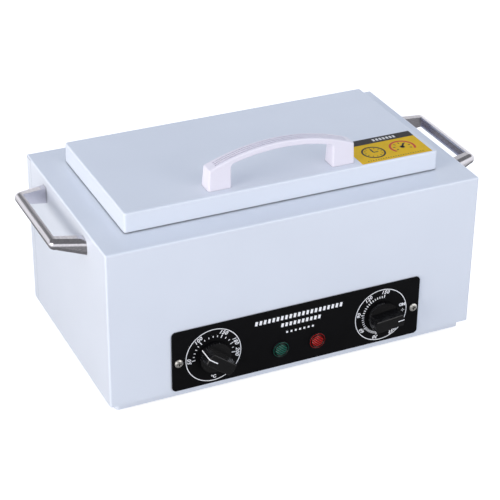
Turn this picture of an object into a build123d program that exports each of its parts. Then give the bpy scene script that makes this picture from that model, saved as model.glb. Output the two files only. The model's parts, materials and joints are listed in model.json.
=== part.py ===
from build123d import *
from math import cos, radians, sin
import os

# Bench-top dry heat sterilizer, in millimetres: +X to the right, +Y to the back, +Z up.
# The origin is the bottom centre of the whole object, on the surface it stands on.
# A folded steel cabinet carries a drawn steel chamber that hangs from its top sheet. A heater
# is clamped under the chamber, with insulation round it, and the controls sit below behind a
# black front panel. An insulated lid turns on two hinges behind the chamber.

os.makedirs("parts", exist_ok=True)

# ---- sheet and general fits ----
sheet = 1.0  # painted steel sheet of the cabinet, lid and base
slip = 0.05  # radial clearance of a screw, pin or shaft in its hole
part_gap = 0.3  # gap between pieces that move apart
seam = 0.4  # visible seam between two sheets
over = 1.0  # how far a cut runs past the face it opens
edge_radius = 1.8  # outer folds of the cabinet

# ---- cabinet ----
width = 370.0
depth = 214.0
shell_height = 156.0
foot_height = 5.0
pan_height = 8.5
pan_inset_side = 6.7
pan_inset_front = 5.8
pan_corner = 4.0
pan_flange = 9.0
base_flange = 16.0  # inward fold along the bottom of the cabinet
cover_return = 12.0  # how far the rear cover wraps round the sides
cover_land = 12.0  # inward fold that the rear cover is screwed to
joggle_lap = 8.0

# ---- control panel and its holes ----
panel_width = 253.0
panel_height = 62.0
panel_sheet = 1.5
panel_corner = 4.0
panel_lift = 1.5  # cabinet's bottom edge to the panel's bottom edge
panel_x = 0.8
dial_spacing = 172.2
dial_drop = 1.2  # below the panel's middle
lamp_spacing = 37.5
lamp_drop = 12.2
panel_screw_inset = 6.1  # from the panel's ends

# ---- knobs and shafts ----
knob_radius = 15.0
knob_height = 18.4
knob_gap = 0.6
skirt_height = 5.5
grip_foot_width = 13.6
grip_draft_angle = 2.5
knob_edge = 0.8
knob_cavity_radius = 9.5
knob_cavity_depth = 3.8
shaft_radius = 3.0
shaft_grip = 13.5  # length of shaft inside the knob
shaft_seat = 6.0  # length of shaft inside the switch body
shaft_flat = 0.8
shaft_round = 3.5  # round part of the shaft that shows in front of the cabinet's inner face
terminal_pitch = 9.0
switch_edge = 1.5
bush_radius = 5.0
bush_nut_height = 2.0
bush_nut_across = 14.0
bush_proud = 0.6
temperature_rest_angle = 143.0  # pointer, degrees anticlockwise from three o'clock
timer_rest_angle = 5.4

# ---- switch bodies ----
thermostat_width = 38.0
thermostat_height = 40.0
thermostat_depth = 26.0
timer_radius = 23.0
timer_depth = 30.0
timer_plate = 2.0
timer_plate_size = 44.0
terminal_width = 6.3
terminal_sheet = 0.8
terminal_length = 8.0

# ---- lamps ----
bezel_radius = 8.0
bezel_base = 0.6
bezel_rim = 1.2
bezel_height = 1.2
lens_flange_radius = 8.3
lens_flange = 0.8
lens_edge = 0.3
lens_dome_radius = 6.7
lens_crown = 1.6
lamp_tab_pitch = 6.0
lamp_tab_width = 4.8
lamp_barrel_radius = 5.5
lamp_barrel_length = 20.0
lamp_clip_radius = 10.0
lamp_clip_sheet = 0.6

# ---- chamber ----
chamber_sheet = 0.8
chamber_margin = 21.0  # from the lid's edge to the chamber's wall
control_space = 96.0  # cabinet's bottom edge to the chamber's floor
chamber_corner = 12.0
chamber_floor_radius = 4.0
chamber_flange = 12.0
chamber_hole_gap = 0.6
gasket_setback = 1.5
gasket_round = 0.8
chamber_screw_length = 6.0
chamber_screw_inset = 4.2  # from the flange's outer edge
chamber_screw_columns = 4

# ---- heater and insulation ----
heater_side_margin = 23.0  # from the chamber's side walls
heater_end_margin = 14.5  # from the chamber's front and rear walls
heater_sheet = 2.5
heater_corner = 4.0
clamp_margin = 5.0  # from the heater's edge
clamp_sheet = 1.5
stud_inset_x = 17.0  # from the clamp plate's edge
stud_inset_y = 12.0
stud_radius = 2.0
stud_length = 11.0
stud_nut_across = 7.0
stud_nut_height = 3.2
insulation_wall = 20.0
insulation_base_height = 18.0
insulation_gap = 0.5
insulation_corner = 6.0
insulation_top_clearance = 9.0
nut_pocket_gap = 1.0  # below the end of the stud
nut_pocket_radius = 6.0
bulb_radius = 3.0
bulb_length = 80.0
bulb_inset = 7.0  # from the clamp plate's front edge
bulb_slot = 7.2
bulb_round = 1.5
capillary_rise = 10.4
capillary_radius = 0.9
capillary_bend = 8.0
capillary_hole = 5.0
cutout_radius = 8.0
cutout_height = 9.0
cutout_x = 55.0
cutout_ear_margin = 3.0  # past the middle of the screw
cutout_ear_width = 8.0
cutout_ear_sheet = 1.0
cutout_pocket_gap = 1.5
cutout_pocket_floor = 2.0  # below the tabs
cutout_screw_gap = 0.8  # between a screw's head and the cutout
cutout_screw_radius = 1.2
cutout_head_radius = 2.2
cutout_head_height = 1.2
cutout_tab_length = 3.0
shield_fold = 10.0

# ---- lid ----
lid_side_margin = 29.0  # cabinet's top left open at each side
lid_end_margin = 29.5  # cabinet's top left open at the front and at the back
lid_height = 20.0
lid_lift = 1.2  # open line between the lid's rim and the cabinet
lid_corner = 2.5
lid_edge = 1.8
liner_sheet = 0.8
liner_level = 4.0
liner_wall = 12.0
liner_corner = 2.6
plug_side_gap = 3.0
plug_drop = 2.0
lid_insulation_inset = 6.0
lid_pocket_radius = 6.0
lid_pocket_depth = 4.0

# ---- lid handle ----
grip_span = 145.4
grip_foot = 22.2
grip_foot_depth = 17.0
grip_setback = 8.2  # lid's front edge to the handle's front face
grip_end_height = 20.2
grip_rise = 35.5
grip_end_lean = 0.8
grip_corner = 1.4
grip_under_end = 22.0
grip_under_rise = 29.1
grip_top_front = 0.4  # how far the front face leans back at the top
grip_top_rear = 4.5  # how far the rear face leans forward at the top
grip_inner_radius = 4.0
grip_round = 1.6
groove_width = 1.2
groove_depth = 1.0
groove_pitch = 2.9
groove_count = 3
groove_end = 65.0
grip_screw_length = 9.0

# ---- hinges ----
hinge_inset = 56.0  # from the lid's side to the hinge's middle
hinge_length = 50.0
hinge_sheet = 1.2
hinge_barrel = 3.0
hinge_pin_radius = 1.3
hinge_offset = 3.6  # pin axis behind the lid and above the cabinet's top
hinge_leaf = 19.0
hinge_flap_height = 12.6
hinge_tongue = 20.0
hinge_knuckle_gap = 0.4
hinge_screw_spacing = 30.0
hinge_screw_reach = 12.5
hinge_flap_screw_reach = 8.5
flush_screw_radius = 1.5
flush_head_radius = 2.8
flush_screw_length = 6.0
flush_cross = 3.2
flush_cross_depth = 0.8

# ---- side handles ----
bow_reach = 30.8
bow_bar_depth = 6.5
bow_bar_half = 51.5
bow_bar_inner_half = 43.0
bow_wall_half = 61.0
bow_wall_inner_half = 49.0
bow_wall_low = 24.5  # below the cabinet's top, at the wall
bow_wall_high = 8.8
bow_bar_low = 18.0
bow_bar_high = 7.5
bow_round = 5.0
bow_corner = 6.5  # outer corners, seen from above
bow_channel_height = 6.6
bow_channel_depth = 4.6
bow_screw_inset = 6.5  # from the leg's outer end at the wall
bow_screw_drop = 16.6
bow_screw_bite = 8.0

# ---- inlet and terminal block ----
inlet_x = 118.0
inlet_height = 42.0
inlet_flange = 3.0
inlet_flange_width = 50.0
inlet_flange_height = 24.0
inlet_corner = 5.0
inlet_body_width = 27.6
inlet_body_height = 20.4
inlet_socket_width = 24.0
inlet_socket_height = 17.0
inlet_socket_depth = 15.0
inlet_floor = 3.0
inlet_socket_chamfer = 4.5
inlet_screw_length = 7.0
inlet_screw_inset = 5.0
inlet_sink = 2.0
inlet_cut_gap = 0.4
pin_width = 2.0
pin_height = 4.0
pin_length = 12.0
pin_tail = 9.0
pin_spacing = 14.0
pin_offset = 2.0
block_x = 60.0
block_setback = 63.75  # in front of the cabinet's rear face
block_width = 42.0
block_depth = 20.0
block_height = 15.0
block_ways = 3
block_screw_inset = 4.0
block_screw_seat = 8.0  # height of the screws' seats above the pan's floor
block_bore = 2.4
block_bore_depth = 6.0
block_bore_height = 7.0
block_pitch = 9.0

# ---- tray ----
tray_side_gap = 9.0  # to the chamber's side walls, under the lip
tray_end_gap = 8.0  # to the chamber's front and rear walls, under the lip
tray_height = 22.0
tray_sheet = 0.8
tray_corner = 10.0
tray_lip = 4.0
tray_round = 1.5
tray_foot_radius = 4.0
tray_foot_height = 3.0
tray_foot_inset = 16.0
tray_hole_radius = 3.0
tray_hole_pitch = 18.0
tray_hole_margin = 12.0  # least, from the tray's edge to the middle of a hole

# ---- screws, nuts and feet ----
screw_radius = 2.0
screw_head_radius = 4.0
screw_head_height = 2.2
screw_cross = 4.4
screw_cross_width = 1.3
screw_cross_depth = 1.7
screw_rim_share = 0.6  # straight part of a head's height
screw_crown_share = 0.72  # head's top radius over its rim radius
small_radius = 1.5
small_head_radius = 2.8
small_head_height = 1.7
nut_across = 7.0
nut_height = 3.0
foot_radius = 9.0
foot_bottom_radius = 8.0
foot_inset = 28.0
foot_sink_radius = 5.0
foot_sink_depth = 3.4
base_screw_gap = 0.7  # between the access hole and the pan's wall
base_screw_rows = 3
access_radius = 3.6
base_screw_pitch = 70.0
cover_screw_inset = 7.0
vent_length = 26.0
vent_width = 3.0
vent_pitch = 7.0
vent_rows = 4
vent_columns = 3
vent_column_pitch = 38.0
vent_x = -55.0
vent_height = 50.0
base_vent_shift = 38.75  # in front of the pan's middle

cover_screw_length = 6.0
base_screw_length = 6.0
foot_screw_length = 7.0
panel_screw_length = 8.0

# ---- sizes, levels and faces that follow ----
lid_width = width - 2 * lid_side_margin
lid_depth = depth - 2 * lid_end_margin
chamber_width = lid_width - 2 * chamber_margin
chamber_depth = lid_depth - 2 * chamber_margin
heater_width = chamber_width - 2 * heater_side_margin
heater_depth = chamber_depth - 2 * heater_end_margin
clamp_width = heater_width - 2 * clamp_margin
clamp_depth = heater_depth - 2 * clamp_margin
tray_width = chamber_width - 2 * tray_side_gap
tray_depth = chamber_depth - 2 * tray_end_gap
pan_z = foot_height
shell_z = pan_z + pan_height
top_z = shell_z + shell_height
knob_reach = panel_sheet + knob_gap + knob_height
body_y = (knob_reach - inlet_flange) / 2
front_y = body_y - depth / 2
rear_y = body_y + depth / 2
side_x = width / 2
seam_y = rear_y - cover_return - seam
panel_y = front_y - panel_sheet
panel_z = shell_z + panel_lift + panel_height / 2
dial_z = panel_z - dial_drop
lamp_z = panel_z - lamp_drop
temperature_x = panel_x - dial_spacing / 2
timer_x = panel_x + dial_spacing / 2
floor_z = shell_z + control_space
chamber_drop = top_z - floor_z
heater_z = floor_z - chamber_sheet - heater_sheet
clamp_z = heater_z - clamp_sheet
insulation_z = clamp_z - insulation_base_height
shield_z = insulation_z - sheet
lid_z = top_z + lid_lift
lid_top = top_z + lid_height
lid_front_y = body_y - lid_depth / 2
lid_rear_y = body_y + lid_depth / 2
liner_z = top_z + liner_level
hinge_y = lid_rear_y + hinge_offset
hinge_z = top_z + hinge_offset
chamber_out_x = chamber_width / 2 + chamber_sheet
chamber_out_y = chamber_depth / 2 + chamber_sheet
flange_screw_reach = chamber_flange - chamber_screw_inset
inner_y = front_y + sheet
bow_screw_z = top_z - bow_screw_drop
lens_radius = bezel_radius - bezel_rim - slip

# Turns that send a screw's head to one side of the object.
TO_FRONT = (90, 0, 0)
TO_BACK = (-90, 0, 0)
TO_RIGHT = (0, 90, 0)
TO_LEFT = (0, -90, 0)
UP = (0, 0, 0)
DOWN = (180, 0, 0)


def front_plane(x, y, z, turn=0.0):
    """A plane that faces the front, with its own X turned by an angle from the object's X."""
    across = (cos(radians(turn)), 0, sin(radians(turn)))
    return Plane(origin=(x, y, z), x_dir=across, z_dir=(0, -1, 0))


def rear_plane(x, y, z):
    """A plane that faces the back."""
    return Plane(origin=(x, y, z), x_dir=(-1, 0, 0), z_dir=(0, 1, 0))


def span_box(low, high, mode=Mode.ADD):
    """A box from its low corner to its high corner, in the part being built."""
    size = [abs(b - a) for a, b in zip(low, high)]
    middle = [(a + b) / 2 for a, b in zip(low, high)]
    with Locations(tuple(middle)):
        Box(*size, mode=mode)


def rod(place, turn, radius, length, mode=Mode.ADD):
    """A round bar that starts at a place and runs along the turned Z."""
    with Locations(Location(place, turn)):
        Cylinder(radius, length, align=(Align.CENTER, Align.CENTER, Align.MIN), mode=mode)


def save(piece, name):
    """Labels a finished piece and writes it."""
    piece.part.label = name
    export_step(piece.part, f"parts/{name}.step")


def pan_screws(places, turn, radius, head_radius, head_height, length):
    """Cross-head screws: each place is where the head seats, and the turn is the head's way."""
    scale = head_radius / screw_head_radius
    rim = head_height * screw_rim_share
    with BuildPart() as screws:
        with Locations(*[Location(place, turn) for place in places]):
            Cylinder(head_radius, rim, align=(Align.CENTER, Align.CENTER, Align.MIN))
            Cylinder(radius, length, align=(Align.CENTER, Align.CENTER, Align.MAX))
            with Locations((0, 0, rim)):
                Cone(head_radius, head_radius * screw_crown_share, head_height - rim,
                     align=(Align.CENTER, Align.CENTER, Align.MIN))
            with Locations((0, 0, head_height)):
                Box(screw_cross * scale, screw_cross_width * scale, screw_cross_depth * scale,
                    align=(Align.CENTER, Align.CENTER, Align.MAX), mode=Mode.SUBTRACT)
                Box(screw_cross_width * scale, screw_cross * scale, screw_cross_depth * scale,
                    align=(Align.CENTER, Align.CENTER, Align.MAX), mode=Mode.SUBTRACT)
    return screws


def flush_screws(places, turn, length):
    """Countersunk screws: each place is on the sheet's outer face."""
    with BuildPart() as screws:
        with Locations(*[Location(place, turn) for place in places]):
            Cylinder(flush_screw_radius, length, align=(Align.CENTER, Align.CENTER, Align.MAX))
            Cone(flush_screw_radius, flush_head_radius, hinge_sheet,
                 align=(Align.CENTER, Align.CENTER, Align.MAX))
            Box(flush_cross, screw_cross_width / 2, flush_cross_depth,
                align=(Align.CENTER, Align.CENTER, Align.MAX), mode=Mode.SUBTRACT)
            Box(screw_cross_width / 2, flush_cross, flush_cross_depth,
                align=(Align.CENTER, Align.CENTER, Align.MAX), mode=Mode.SUBTRACT)
    return screws


def sink(place, turn):
    """A countersunk hole through a hinge's sheet, in the part being built."""
    with Locations(Location(place, turn)):
        Cone(flush_screw_radius + slip, flush_head_radius + slip, hinge_sheet,
             align=(Align.CENTER, Align.CENTER, Align.MAX), mode=Mode.SUBTRACT)


def nuts(places, turn, across, height, bore):
    """Hexagon nuts: each place is the face that the nut seats with."""
    with BuildPart() as group:
        for place in places:
            with BuildSketch(Plane(Location(place, turn)), mode=Mode.PRIVATE) as hexagon:
                RegularPolygon(across / 2, 6, major_radius=False)
                Circle(bore, mode=Mode.SUBTRACT)
            extrude(hexagon.sketch, amount=height)
    return group


def block(plane, wide, high, corner, amount, mode=Mode.ADD):
    """A plate or a recess with rounded corners, raised from a plane."""
    with BuildSketch(plane) as outline:
        RectangleRounded(wide, high, corner)
    extrude(outline.sketch, amount=amount, mode=mode)


def drawn_block(plane, wide, high, corner, amount, base_radius):
    """A solid with rounded corners and a rounded base, as a drawing press makes it."""
    with BuildPart() as drawn:
        block(plane, wide, high, corner, amount)
        fillet(drawn.faces().sort_by(Axis.Z)[0].edges(), base_radius)
    return drawn.part


# Places that several pieces share.
bush_places = [(temperature_x, dial_z), (timer_x, dial_z)]
lamp_places = [(panel_x - lamp_spacing / 2, lamp_z), (panel_x + lamp_spacing / 2, lamp_z)]
panel_screw_x = panel_width / 2 - panel_screw_inset
panel_screw_places = [(panel_x + side * panel_screw_x, dial_z) for side in (-1, 1)]
flange_x = chamber_out_x + flange_screw_reach
flange_y = chamber_out_y + flange_screw_reach
chamber_screw_places = [
    (flange_x * (2 * column / (chamber_screw_columns - 1) - 1), body_y + side * flange_y)
    for column in range(chamber_screw_columns)
    for side in (-1, 1)
]
stud_x = clamp_width / 2 - stud_inset_x
stud_y = clamp_depth / 2 - stud_inset_y
stud_places = [(x * stud_x, body_y + y * stud_y) for x in (-1, 1) for y in (-1, 1)]
base_screw_x = side_x - pan_inset_side - sheet - base_screw_gap - access_radius
base_screw_places = [
    (side * base_screw_x, body_y + base_screw_pitch * (row - (base_screw_rows - 1) / 2))
    for side in (-1, 1)
    for row in range(base_screw_rows)
]
foot_places = [
    (x * (side_x - foot_inset), body_y + y * (depth / 2 - foot_inset)) for x in (-1, 1) for y in (-1, 1)
]
cover_screw_x = side_x - sheet - cover_screw_inset
cover_screw_places = [
    (x, z)
    for z in (shell_z + cover_screw_inset, top_z - sheet - seam - cover_screw_inset)
    for x in (-cover_screw_x, cover_screw_x)
] + [(0, top_z - sheet - seam - cover_screw_inset)]
inlet_screw_half = inlet_flange_width / 2 - inlet_screw_inset
inlet_screw_x = [inlet_x + side * inlet_screw_half for side in (-1, 1)]
bow_screw_half = bow_wall_half - bow_screw_inset
bow_screw_y = [body_y - bow_screw_half, body_y + bow_screw_half]
hinge_x = [hinge_inset - lid_width / 2, lid_width / 2 - hinge_inset]
hinge_screw_x = [x + side * hinge_screw_spacing / 2 for x in hinge_x for side in (-1, 1)]
grip_front_y = lid_front_y + grip_setback
grip_screw_places = [
    (side * (grip_span - grip_foot) / 2, grip_front_y + grip_foot_depth / 2) for side in (-1, 1)
]
bulb_place_y = body_y - clamp_depth / 2 + bulb_inset
wrap_x = chamber_out_x + insulation_gap + insulation_wall
wrap_y = chamber_out_y + insulation_gap + insulation_wall
block_y = rear_y - block_setback
block_screw_half = block_width / 2 - block_screw_inset
block_screw_x = [block_x + side * block_screw_half for side in (-1, 1)]
pan_x = side_x - pan_inset_side
pan_front_y = front_y + pan_inset_front
pan_rear_y = rear_y - pan_inset_front

# ==== cabinet ====

# The shell is one folded sheet: front, two sides and the top, with an inward fold along the
# bottom and a joggled strip and landing at the back, behind the rear cover.
with BuildPart() as cabinet_shell:
    span_box((-side_x, front_y, shell_z), (side_x, rear_y, top_z))
    top_edges = cabinet_shell.faces().sort_by(Axis.Z)[-1].edges()
    front_edges = cabinet_shell.faces().sort_by(Axis.Y)[0].edges().filter_by(Axis.Z)
    fillet(top_edges + front_edges, edge_radius)
    span_box(
        (sheet - side_x, inner_y, shell_z - over),
        (side_x - sheet, rear_y + over, top_z - sheet),
        Mode.SUBTRACT,
    )
    span_box(
        (-side_x - over, seam_y, shell_z - over),
        (side_x + over, rear_y + over, top_z - sheet),
        Mode.SUBTRACT,
    )
    land_y = rear_y - 2 * sheet
    for side in (-1, 1):
        wall_x = side * (side_x - sheet)
        strip_x = side * (side_x - 2 * sheet)
        land_x = side * (side_x - sheet - cover_land)
        flange_inner_x = side * (side_x - base_flange)
        span_box((wall_x, seam_y - joggle_lap, shell_z), (strip_x, land_y, top_z - sheet))
        span_box((wall_x, land_y, shell_z), (land_x, land_y + sheet, top_z - sheet))
        span_box((wall_x, inner_y, shell_z), (flange_inner_x, land_y, shell_z + sheet))
    span_box(
        (sheet - side_x, inner_y, shell_z),
        (side_x - sheet, front_y + base_flange, shell_z + sheet),
    )
    span_box(
        (2 * sheet - side_x, land_y, top_z - sheet - cover_land),
        (side_x - 2 * sheet, land_y + sheet, top_z - sheet),
    )
    block(
        Plane((0, body_y, top_z + over)),
        2 * (chamber_out_x + chamber_hole_gap),
        2 * (chamber_out_y + chamber_hole_gap),
        chamber_corner + chamber_sheet + chamber_hole_gap,
        -2 * over - sheet,
        Mode.SUBTRACT,
    )
    for x, z in bush_places:
        rod((x, front_y - over, z), TO_BACK, bush_radius + slip, sheet + 2 * over, Mode.SUBTRACT)
    for x, z in lamp_places:
        rod((x, front_y - over, z), TO_BACK, lamp_barrel_radius + slip, sheet + 2 * over, Mode.SUBTRACT)
    for x, z in panel_screw_places:
        rod((x, front_y - over, z), TO_BACK, screw_radius + slip, sheet + 2 * over, Mode.SUBTRACT)
    for x, y in chamber_screw_places:
        rod((x, y, top_z + over), DOWN, small_radius + slip, sheet + 2 * over, Mode.SUBTRACT)
    for x in hinge_screw_x:
        place = (x, hinge_y + hinge_screw_reach, top_z + over)
        rod(place, DOWN, flush_screw_radius + slip, sheet + 2 * over, Mode.SUBTRACT)
    for x, y in base_screw_places:
        rod((x, y, shell_z - over), UP, small_radius + slip, sheet + 2 * over, Mode.SUBTRACT)
    for y in bow_screw_y:
        place = (-side_x - over, y, bow_screw_z)
        rod(place, TO_RIGHT, screw_radius + slip, width + 2 * over, Mode.SUBTRACT)
    for x, z in cover_screw_places:
        rod((x, land_y - over, z), TO_BACK, small_radius + slip, sheet + 2 * over, Mode.SUBTRACT)
save(cabinet_shell, "cabinet_shell")

# The rear cover wraps a little way round both sides.
with BuildPart() as rear_cover:
    span_box((-side_x, rear_y - cover_return, shell_z), (side_x, rear_y, top_z - sheet - seam))
    fillet(rear_cover.faces().sort_by(Axis.Y)[-1].edges().filter_by(Axis.Z), edge_radius)
    span_box(
        (sheet - side_x, rear_y - cover_return - over, shell_z - over),
        (side_x - sheet, rear_y - sheet, top_z),
        Mode.SUBTRACT,
    )
    with BuildSketch(rear_plane(vent_x, rear_y + over, vent_height)) as vents:
        with GridLocations(vent_column_pitch, vent_pitch, vent_columns, vent_rows):
            SlotOverall(vent_length, vent_width)
    extrude(vents.sketch, amount=-sheet - 2 * over, mode=Mode.SUBTRACT)
    block(
        rear_plane(inlet_x, rear_y + over, inlet_height),
        inlet_body_width + 2 * inlet_cut_gap,
        inlet_body_height + 2 * inlet_cut_gap,
        inlet_cut_gap,
        -sheet - 2 * over,
        Mode.SUBTRACT,
    )
    for x in inlet_screw_x:
        place = (x, rear_y - sheet - over, inlet_height)
        rod(place, TO_BACK, small_radius + slip, sheet + 2 * over, Mode.SUBTRACT)
    for x, z in cover_screw_places:
        rod((x, rear_y - sheet - over, z), TO_BACK, small_radius + slip, sheet + 2 * over, Mode.SUBTRACT)
save(rear_cover, "rear_cover")

rear_cover_screws = pan_screws(
    [(x, rear_y, z) for x, z in cover_screw_places],
    TO_BACK, small_radius, small_head_radius, small_head_height, cover_screw_length,
)
save(rear_cover_screws, "rear_cover_screws")

# The base pan is a shallow tray with an inward fold at its rim, set in from the cabinet.
with BuildPart() as base_pan:
    block(
        Plane((0, body_y, pan_z)), 2 * pan_x, pan_rear_y - pan_front_y, pan_corner, pan_height
    )
    block(
        Plane((0, body_y, pan_z + sheet)),
        2 * (pan_x - sheet),
        pan_rear_y - pan_front_y - 2 * sheet,
        pan_corner - sheet,
        pan_height - 2 * sheet,
        Mode.SUBTRACT,
    )
    block(
        Plane((0, body_y, shell_z - sheet - over)),
        2 * (pan_x - sheet - pan_flange),
        pan_rear_y - pan_front_y - 2 * (sheet + pan_flange),
        pan_corner,
        sheet + 2 * over,
        Mode.SUBTRACT,
    )
    for x, y in base_screw_places:
        rod((x, y, shell_z - sheet - over), UP, small_radius + slip, sheet + 2 * over, Mode.SUBTRACT)
        rod((x, y, pan_z - over), UP, access_radius, sheet + 2 * over, Mode.SUBTRACT)
    for x, y in foot_places:
        rod((x, y, pan_z - over), UP, screw_radius + slip, sheet + 2 * over, Mode.SUBTRACT)
    for x in block_screw_x:
        rod((x, block_y, pan_z - over), UP, small_radius + slip, sheet + 2 * over, Mode.SUBTRACT)
    with BuildSketch(Plane((vent_x, body_y - base_vent_shift, pan_z - over))) as base_vents:
        with GridLocations(vent_column_pitch, vent_pitch, vent_columns, vent_rows):
            SlotOverall(vent_length, vent_width)
    extrude(base_vents.sketch, amount=sheet + 2 * over, mode=Mode.SUBTRACT)
save(base_pan, "base_pan")

base_screws = pan_screws(
    [(x, y, shell_z - sheet) for x, y in base_screw_places],
    DOWN, small_radius, small_head_radius, small_head_height, base_screw_length,
)
save(base_screws, "base_screws")

with BuildPart() as rubber_feet:
    with Locations(*[(x, y, 0) for x, y in foot_places]):
        Cone(foot_bottom_radius, foot_radius, foot_height,
             align=(Align.CENTER, Align.CENTER, Align.MIN))
        Cylinder(foot_sink_radius, foot_sink_depth,
                 align=(Align.CENTER, Align.CENTER, Align.MIN), mode=Mode.SUBTRACT)
        Cylinder(screw_radius + slip, foot_height,
                 align=(Align.CENTER, Align.CENTER, Align.MIN), mode=Mode.SUBTRACT)
save(rubber_feet, "rubber_feet")

foot_screws = pan_screws(
    [(x, y, foot_sink_depth) for x, y in foot_places],
    DOWN, screw_radius, screw_head_radius, screw_head_height, foot_screw_length,
)
save(foot_screws, "foot_screws")

foot_nuts = nuts(
    [(x, y, pan_z + sheet) for x, y in foot_places], UP, nut_across, nut_height, screw_radius + slip
)
save(foot_nuts, "foot_nuts")

# ==== control panel ====

with BuildPart() as control_panel:
    block(
        front_plane(panel_x, front_y, panel_z), panel_width, panel_height, panel_corner, panel_sheet
    )
    for x, z in bush_places:
        rod((x, front_y + over, z), TO_FRONT, bush_radius + slip, panel_sheet + 2 * over, Mode.SUBTRACT)
    for x, z in lamp_places:
        place = (x, front_y + over, z)
        rod(place, TO_FRONT, lamp_barrel_radius + slip, panel_sheet + 2 * over, Mode.SUBTRACT)
    for x, z in panel_screw_places:
        rod((x, front_y + over, z), TO_FRONT, screw_radius + slip, panel_sheet + 2 * over, Mode.SUBTRACT)
save(control_panel, "control_panel")

panel_screws = pan_screws(
    [(x, panel_y, z) for x, z in panel_screw_places],
    TO_FRONT, screw_radius, screw_head_radius, screw_head_height, panel_screw_length,
)
save(panel_screws, "panel_screws")


def shaft_outline(plane, radius):
    """A round outline with a flat on its upper side."""
    with BuildSketch(plane, mode=Mode.PRIVATE) as outline:
        Circle(radius)
        with Locations((0, shaft_radius - shaft_flat)):
            Rectangle(2 * radius, 2 * radius, align=(Align.CENTER, Align.MIN), mode=Mode.SUBTRACT)
    return outline.sketch


def control_knob(x, angle):
    """A round skirt with a bar grip across it, its pointer end along the plane's own X."""
    seat = front_plane(x, panel_y - knob_gap, dial_z, angle)
    with BuildPart() as knob:
        with BuildSketch(seat):
            Rectangle(2 * knob_radius + grip_foot_width, grip_foot_width)
        extrude(amount=knob_height, taper=grip_draft_angle)
        with BuildSketch(seat):
            Circle(knob_radius)
        extrude(amount=knob_height, mode=Mode.INTERSECT)
        fillet(knob.faces().sort_by(Axis.Y)[0].edges(), knob_edge)
        with BuildSketch(seat):
            Circle(knob_radius)
        extrude(amount=skirt_height)
        with BuildSketch(seat):
            Circle(knob_cavity_radius)
        extrude(amount=knob_cavity_depth, mode=Mode.SUBTRACT)
        extrude(shaft_outline(seat, shaft_radius + slip), amount=shaft_grip, mode=Mode.SUBTRACT)
    return knob


def control_shaft(x, angle):
    """A round shaft from inside the switch to inside the knob, flatted where the knob holds it."""
    seat = front_plane(x, panel_y - knob_gap, dial_z, angle)
    with BuildPart() as shaft:
        rod((x, inner_y + shaft_seat, dial_z), TO_FRONT, shaft_radius, shaft_seat + shaft_round)
        extrude(shaft_outline(seat, shaft_radius - slip), amount=shaft_grip - slip)
    return shaft


temperature_knob = control_knob(temperature_x, temperature_rest_angle)
save(temperature_knob, "temperature_knob")
timer_knob = control_knob(timer_x, timer_rest_angle)
save(timer_knob, "timer_knob")
temperature_shaft = control_shaft(temperature_x, temperature_rest_angle)
save(temperature_shaft, "temperature_shaft")
timer_shaft = control_shaft(timer_x, timer_rest_angle)
save(timer_shaft, "timer_shaft")


def add_bush(x):
    """The threaded bush of a switch, through the cabinet and the panel, in the part being built."""
    length = sheet + panel_sheet + bush_nut_height + bush_proud
    rod((x, inner_y, dial_z), TO_FRONT, bush_radius, length)
    bore = length + shaft_seat + part_gap
    place = (x, inner_y + shaft_seat + part_gap, dial_z)
    rod(place, TO_FRONT, shaft_radius + slip, bore, Mode.SUBTRACT)


def add_terminals(x, y):
    """Three push-on tabs on the back of a switch, in the part being built."""
    for column in (-1, 0, 1):
        middle = x + column * terminal_pitch
        span_box(
            (middle - terminal_width / 2, y, dial_z - terminal_sheet / 2),
            (middle + terminal_width / 2, y + terminal_length, dial_z + terminal_sheet / 2),
        )


with BuildPart() as thermostat_body:
    span_box(
        (temperature_x - thermostat_width / 2, inner_y, dial_z - thermostat_height / 2),
        (temperature_x + thermostat_width / 2, inner_y + thermostat_depth, dial_z + thermostat_height / 2),
    )
    fillet(thermostat_body.faces().sort_by(Axis.Y)[-1].edges(), switch_edge)
    add_terminals(temperature_x, inner_y + thermostat_depth)
    add_bush(temperature_x)
save(thermostat_body, "thermostat_body")

with BuildPart() as timer_body:
    span_box(
        (timer_x - timer_plate_size / 2, inner_y, dial_z - timer_plate_size / 2),
        (timer_x + timer_plate_size / 2, inner_y + timer_plate, dial_z + timer_plate_size / 2),
    )
    rod((timer_x, inner_y, dial_z), TO_BACK, timer_radius, timer_depth)
    fillet(timer_body.faces().sort_by(Axis.Y)[-1].edges(), switch_edge)
    add_terminals(timer_x, inner_y + timer_depth)
    add_bush(timer_x)
save(timer_body, "timer_body")

bush_nuts = nuts(
    [(x, panel_y, z) for x, z in bush_places], TO_FRONT, bush_nut_across, bush_nut_height,
    bush_radius + slip,
)
save(bush_nuts, "bush_nuts")


def lamp_body(x):
    """A lamp's bezel in front of the panel, and its barrel through the panel and the cabinet."""
    with BuildPart() as body:
        rod((x, panel_y, lamp_z), TO_FRONT, bezel_radius, bezel_height)
        place = (x, panel_y - bezel_base, lamp_z)
        rod(place, TO_FRONT, bezel_radius - bezel_rim, bezel_height, Mode.SUBTRACT)
        rod((x, panel_y, lamp_z), TO_BACK, lamp_barrel_radius, lamp_barrel_length)
        for side in (-1, 1):
            middle = x + side * lamp_tab_pitch / 2
            tab_y = panel_y + lamp_barrel_length
            span_box(
                (middle - terminal_sheet / 2, tab_y, lamp_z - lamp_tab_width / 2),
                (middle + terminal_sheet / 2, tab_y + terminal_length, lamp_z + lamp_tab_width / 2),
            )
    return body


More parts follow.
